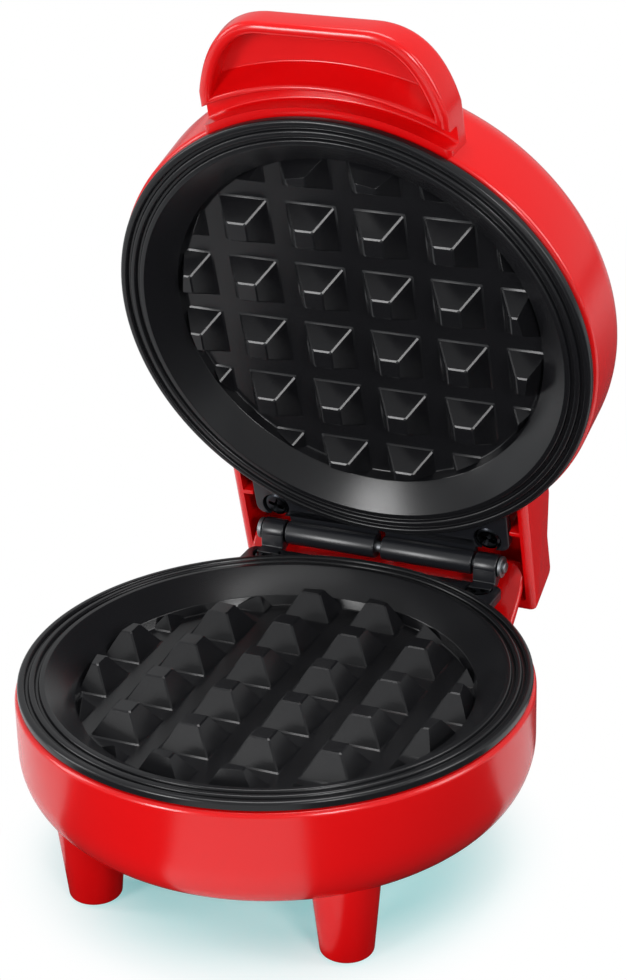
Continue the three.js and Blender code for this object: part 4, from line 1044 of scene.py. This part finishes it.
# %% Finishes for the CAD nodes that stay
SLOT_FINISH = {
    "red_shell": red_abs, "black_nonstick": nonstick, "black_metal": black_paint, "bright_steel": zinc_steel,
    "heater_sheath": heater_steel, "tinned_steel": tin_steel, "black_rubber": black_rubber,
    "cream_nylon": cream_nylon, "amber_lens": amber_lens, "clear_glass": lamp_glass,
}
slot_of = {part["node"]: part["material_slot"] for part in frame["record"]["subparts"]}
shown = 0
for node, piece in frame["nodes"].items():
    piece.data.materials.clear()
    piece.data.materials.append(SLOT_FINISH[slot_of[node]])
    shown += not piece.hide_render
print("CAD nodes left showing:", shown)

# %% [markdown]
# ## Studio
# The appliance stands on a pale sweep of paper, eight metres wide, so that its end never shows.
# Its finish is worked out from the place on the paper: how far from the middle of the base,
# and in which direction. A picture could be painted for it, but nodes stay sharp and soft
# where they should at any distance.

# %% Floor
FLOOR_HALF = 4
floor = new_piece("studio_floor", [(-FLOOR_HALF, -FLOOR_HALF, 0), (FLOOR_HALF, -FLOOR_HALF, 0),
                                   (FLOOR_HALF, FLOOR_HALF, 0), (-FLOOR_HALF, FLOOR_HALF, 0)], [(0, 1, 2, 3)])
floor_finish = bpy.data.materials.new("paper_sweep")
floor_finish.use_nodes = True
floor_tree = floor_finish.node_tree
floor_tree.nodes.clear()
spot = add_node(floor_tree, "ShaderNodeTexCoord")
offset = add_node(floor_tree, "ShaderNodeVectorMath", {
    0: spot.outputs["Object"], 1: (0, centre_y, 0)}, operation="SUBTRACT")
heading = add_node(floor_tree, "ShaderNodeVectorMath", {0: offset.outputs["Vector"]}, operation="NORMALIZE")
distance = add_node(floor_tree, "ShaderNodeVectorMath", {0: offset.outputs["Vector"]}, operation="LENGTH")
print("floor width, m:", 2 * FLOOR_HALF)

# %% [markdown]
# Glossy red plastic mirrors what lies around it. A photographer puts white cards on a grey
# table, and each card shows as a pale panel on the round wall, with deep red between the
# panels. The paper is therefore grey in two sectors, a wide one to the front right and a
# narrow one behind, and white elsewhere; a white card lies inside the wide one. Further out
# the paper is all white. Headings count from the front, anticlockwise as seen from above.

# %% White and grey sectors
CARD_HEADING, CARD_HALF = math.radians(11), math.radians(20)
GAP_HEADING, GAP_HALF = math.radians(26), math.radians(80)
REAR_HEADING, REAR_HALF = math.radians(168), math.radians(27)
SOFT_EDGE = 0.05
WHITE_STARTS, ALL_WHITE = 0.25, 0.8


def within(centre, half_angle):
    towards = add_node(floor_tree, "ShaderNodeVectorMath", {
        0: heading.outputs["Vector"], 1: (math.sin(centre), -math.cos(centre), 0)}, operation="DOT_PRODUCT")
    share = add_node(floor_tree, "ShaderNodeMapRange", {
        "Value": towards.outputs["Value"], "From Min": math.cos(half_angle + SOFT_EDGE),
        "From Max": math.cos(half_angle)}, interpolation_type="SMOOTHSTEP")
    return share.outputs["Result"]


grey = add_node(floor_tree, "ShaderNodeMath", {
    0: within(GAP_HEADING, GAP_HALF), 1: within(REAR_HEADING, REAR_HALF)}, operation="MAXIMUM")
not_grey = add_node(floor_tree, "ShaderNodeMath", {0: 1.0, 1: grey.outputs[0]}, operation="SUBTRACT")
near_white = add_node(floor_tree, "ShaderNodeMath", {
    0: within(CARD_HEADING, CARD_HALF), 1: not_grey.outputs[0]}, operation="MAXIMUM")
far_white = add_node(floor_tree, "ShaderNodeMapRange", {
    "Value": distance.outputs["Value"], "From Min": WHITE_STARTS, "From Max": ALL_WHITE},
    interpolation_type="SMOOTHSTEP")
white_share = add_node(floor_tree, "ShaderNodeMath", {
    0: near_white.outputs[0], 1: far_white.outputs["Result"]}, operation="MAXIMUM")
paper_colour = add_node(floor_tree, "ShaderNodeMix", {
    0: white_share.outputs[0], 6: linear("#4A4C4E"), 7: linear("#F2F4F5")}, data_type="RGBA")
paper = add_node(floor_tree, "ShaderNodeBsdfDiffuse", {"Color": paper_colour.outputs[2]})
print("floor nodes so far:", len(floor_tree.nodes))

# %% [markdown]
# The camera sees the floor differently, as in a cut-out catalogue picture: near the base a painted cool shade, a
# teal tint darker than white, with the real soft shadow under the base, which runs into plain white just outside
# it. The tint is a sum of a diffuse part, which takes the real shadow, and a part that glows evenly, whose teal
# colour near the base is the painted shade.

# %% How the camera sees the floor
FADE_STARTS, WHITE_FROM = 0.034, 0.068
fade = add_node(floor_tree, "ShaderNodeMapRange", {
    "Value": distance.outputs["Value"], "From Min": FADE_STARTS, "From Max": WHITE_FROM},
    interpolation_type="SMOOTHSTEP")
shaded_colour = add_node(floor_tree, "ShaderNodeMix", {
    0: fade.outputs["Result"], 6: linear("#E6E0DC"), 7: linear("#000000")}, data_type="RGBA")
# Painted shade: the glow is teal and darker than white near the base, and plain white further out.
painted_shade_tint = add_node(floor_tree, "ShaderNodeMix", {
    0: fade.outputs["Result"], 6: linear("#3CA4A7"), 7: linear("#FFFFFF")}, data_type="RGBA")
shaded = add_node(floor_tree, "ShaderNodeBsdfDiffuse", {"Color": shaded_colour.outputs[2]})
painted_shade_glow = add_node(floor_tree, "ShaderNodeEmission", {"Color": painted_shade_tint.outputs[2], "Strength": 1.0})
seen = add_node(floor_tree, "ShaderNodeAddShader", {0: shaded.outputs[0], 1: painted_shade_glow.outputs[0]})
rays = add_node(floor_tree, "ShaderNodeLightPath")
mixed = add_node(floor_tree, "ShaderNodeMixShader", {
    0: rays.outputs["Is Camera Ray"], 1: paper.outputs[0], 2: seen.outputs[0]})
add_node(floor_tree, "ShaderNodeOutputMaterial", {"Surface": mixed.outputs[0]})
floor.data.materials.append(floor_finish)
print("floor nodes:", len(floor_tree.nodes))

# %% [markdown]
# The backdrop is plain white for the camera and through glass, and about half as bright in
# reflections, so that black parts stay black and edges still glint. Only a little of its
# light falls on the object, because most of the light is to come from the lamps. A picture
# of a studio could do this, but the kinds of ray can be told apart with plain colours.

# %% World
MIRRORED_SHARE = 0.5
world = bpy.data.worlds.new("studio_world")
bpy.context.scene.world = world
world.use_nodes = True
sky = world.node_tree
sky.nodes.clear()
sky_rays = add_node(sky, "ShaderNodeLightPath")
soft = add_node(sky, "ShaderNodeBackground", {"Color": linear("#DDE6EA"), "Strength": 0.22})
white = add_node(sky, "ShaderNodeBackground", {"Color": linear("#FFFFFF"), "Strength": 1.0})
half_mirrored = add_node(sky, "ShaderNodeMath", {
    0: sky_rays.outputs["Is Glossy Ray"], 1: MIRRORED_SHARE}, operation="MULTIPLY")
seen_rays = add_node(sky, "ShaderNodeMath", {
    0: sky_rays.outputs["Is Camera Ray"], 1: half_mirrored.outputs[0]}, operation="MAXIMUM")
clear_rays = add_node(sky, "ShaderNodeMath", {
    0: seen_rays.outputs[0], 1: sky_rays.outputs["Is Transmission Ray"]}, operation="MAXIMUM")
pick = add_node(sky, "ShaderNodeMixShader", {
    0: clear_rays.outputs[0], 1: soft.outputs[0], 2: white.outputs[0]})
add_node(sky, "ShaderNodeOutputWorld", {"Surface": pick.outputs[0]})
print("world nodes:", len(sky.nodes))

# %% [markdown]
# Five soft boxes light the appliance. The left and top ones give the even light, the right
# and side ones the lid's outer wall, and the low one in front draws the thin lines on the
# edges of the knobs. Each is a rectangle, because its mirror image shows in the gloss.
# A function aims each one at its target, which is easier to follow than three angles.

# %% Lamps
def softbox(name, place, target, width, height, watts):
    lamp = bpy.data.lights.new(name, "AREA")
    lamp.shape = "RECTANGLE"
    lamp.size, lamp.size_y, lamp.energy = width, height, watts
    holder = bpy.data.objects.new(name, lamp)
    holder.location = place
    holder.rotation_euler = (Vector(target) - Vector(place)).to_track_quat("-Z", "Y").to_euler()
    bpy.context.scene.collection.objects.link(holder)
    print(name, "watts:", watts)


softbox("left_softbox", (-1.0, -0.35, 0.45), (0, 0, 0.08), 0.3, 0.7, 3.5)
softbox("right_softbox", (0.75, -0.73, 0.46), (0, 0.04, 0.11), 0.26, 0.3, 4.0)
softbox("side_softbox", (1.0, 0.15, 0.5), (0, 0.03, 0.1), 0.4, 0.6, 4.0)
softbox("top_softbox", (0.0, 0.1, 1.0), (0, 0, 0.05), 0.6, 0.5, 6.5)
softbox("front_softbox", (-0.45, -1.1, 0.29), (0, 0.04, 0.11), 0.3, 0.42, 7.0)

# %% [markdown]
# ## Camera
# The camera's place was fitted to the photograph: the round rims give the viewing angle and
# distance. The angles are about a point near the middle of the appliance, and the camera is
# rolled slightly.

# %% Camera at the photograph's view
AZIMUTH, ELEVATION, ROLL = math.radians(23.94), math.radians(24.76), math.radians(-1.51)
DISTANCE, FOCAL_PIXELS, PHOTO_HEIGHT = 575.24, 2602.63, 980
AIM_X, AIM_HEIGHT = 10.8, 94.55
SENSOR_MM = 36.0
back = Vector((math.sin(AZIMUTH) * math.cos(ELEVATION), -math.cos(AZIMUTH) * math.cos(ELEVATION),
               math.sin(ELEVATION)))
right = Vector((math.cos(AZIMUTH), math.sin(AZIMUTH), 0))
up = back.cross(right)
rolled_right = math.cos(ROLL) * right + math.sin(ROLL) * up
rolled_up = -math.sin(ROLL) * right + math.cos(ROLL) * up
place = Vector((AIM_X, centre_y / MM, AIM_HEIGHT)) + back * DISTANCE
camera_data = bpy.data.cameras.new("photo_camera")
camera_data.sensor_width = SENSOR_MM
camera_data.lens = FOCAL_PIXELS * SENSOR_MM / PHOTO_HEIGHT
camera_data.clip_start, camera_data.clip_end = 0.01, 20
camera = bpy.data.objects.new("photo_camera", camera_data)
turn = Matrix((rolled_right, rolled_up, back)).transposed().to_4x4()
camera.matrix_world = Matrix.Translation(place * MM) @ turn
bpy.context.scene.collection.objects.link(camera)
bpy.context.scene.camera = camera
print("lens:", round(camera_data.lens, 1), "mm; camera at", [round(v, 3) for v in camera.location])

# %% [markdown]
# ## Finishing
# The view is set to show colours as they are written.

bpy.context.scene.view_settings.view_transform = "Standard"
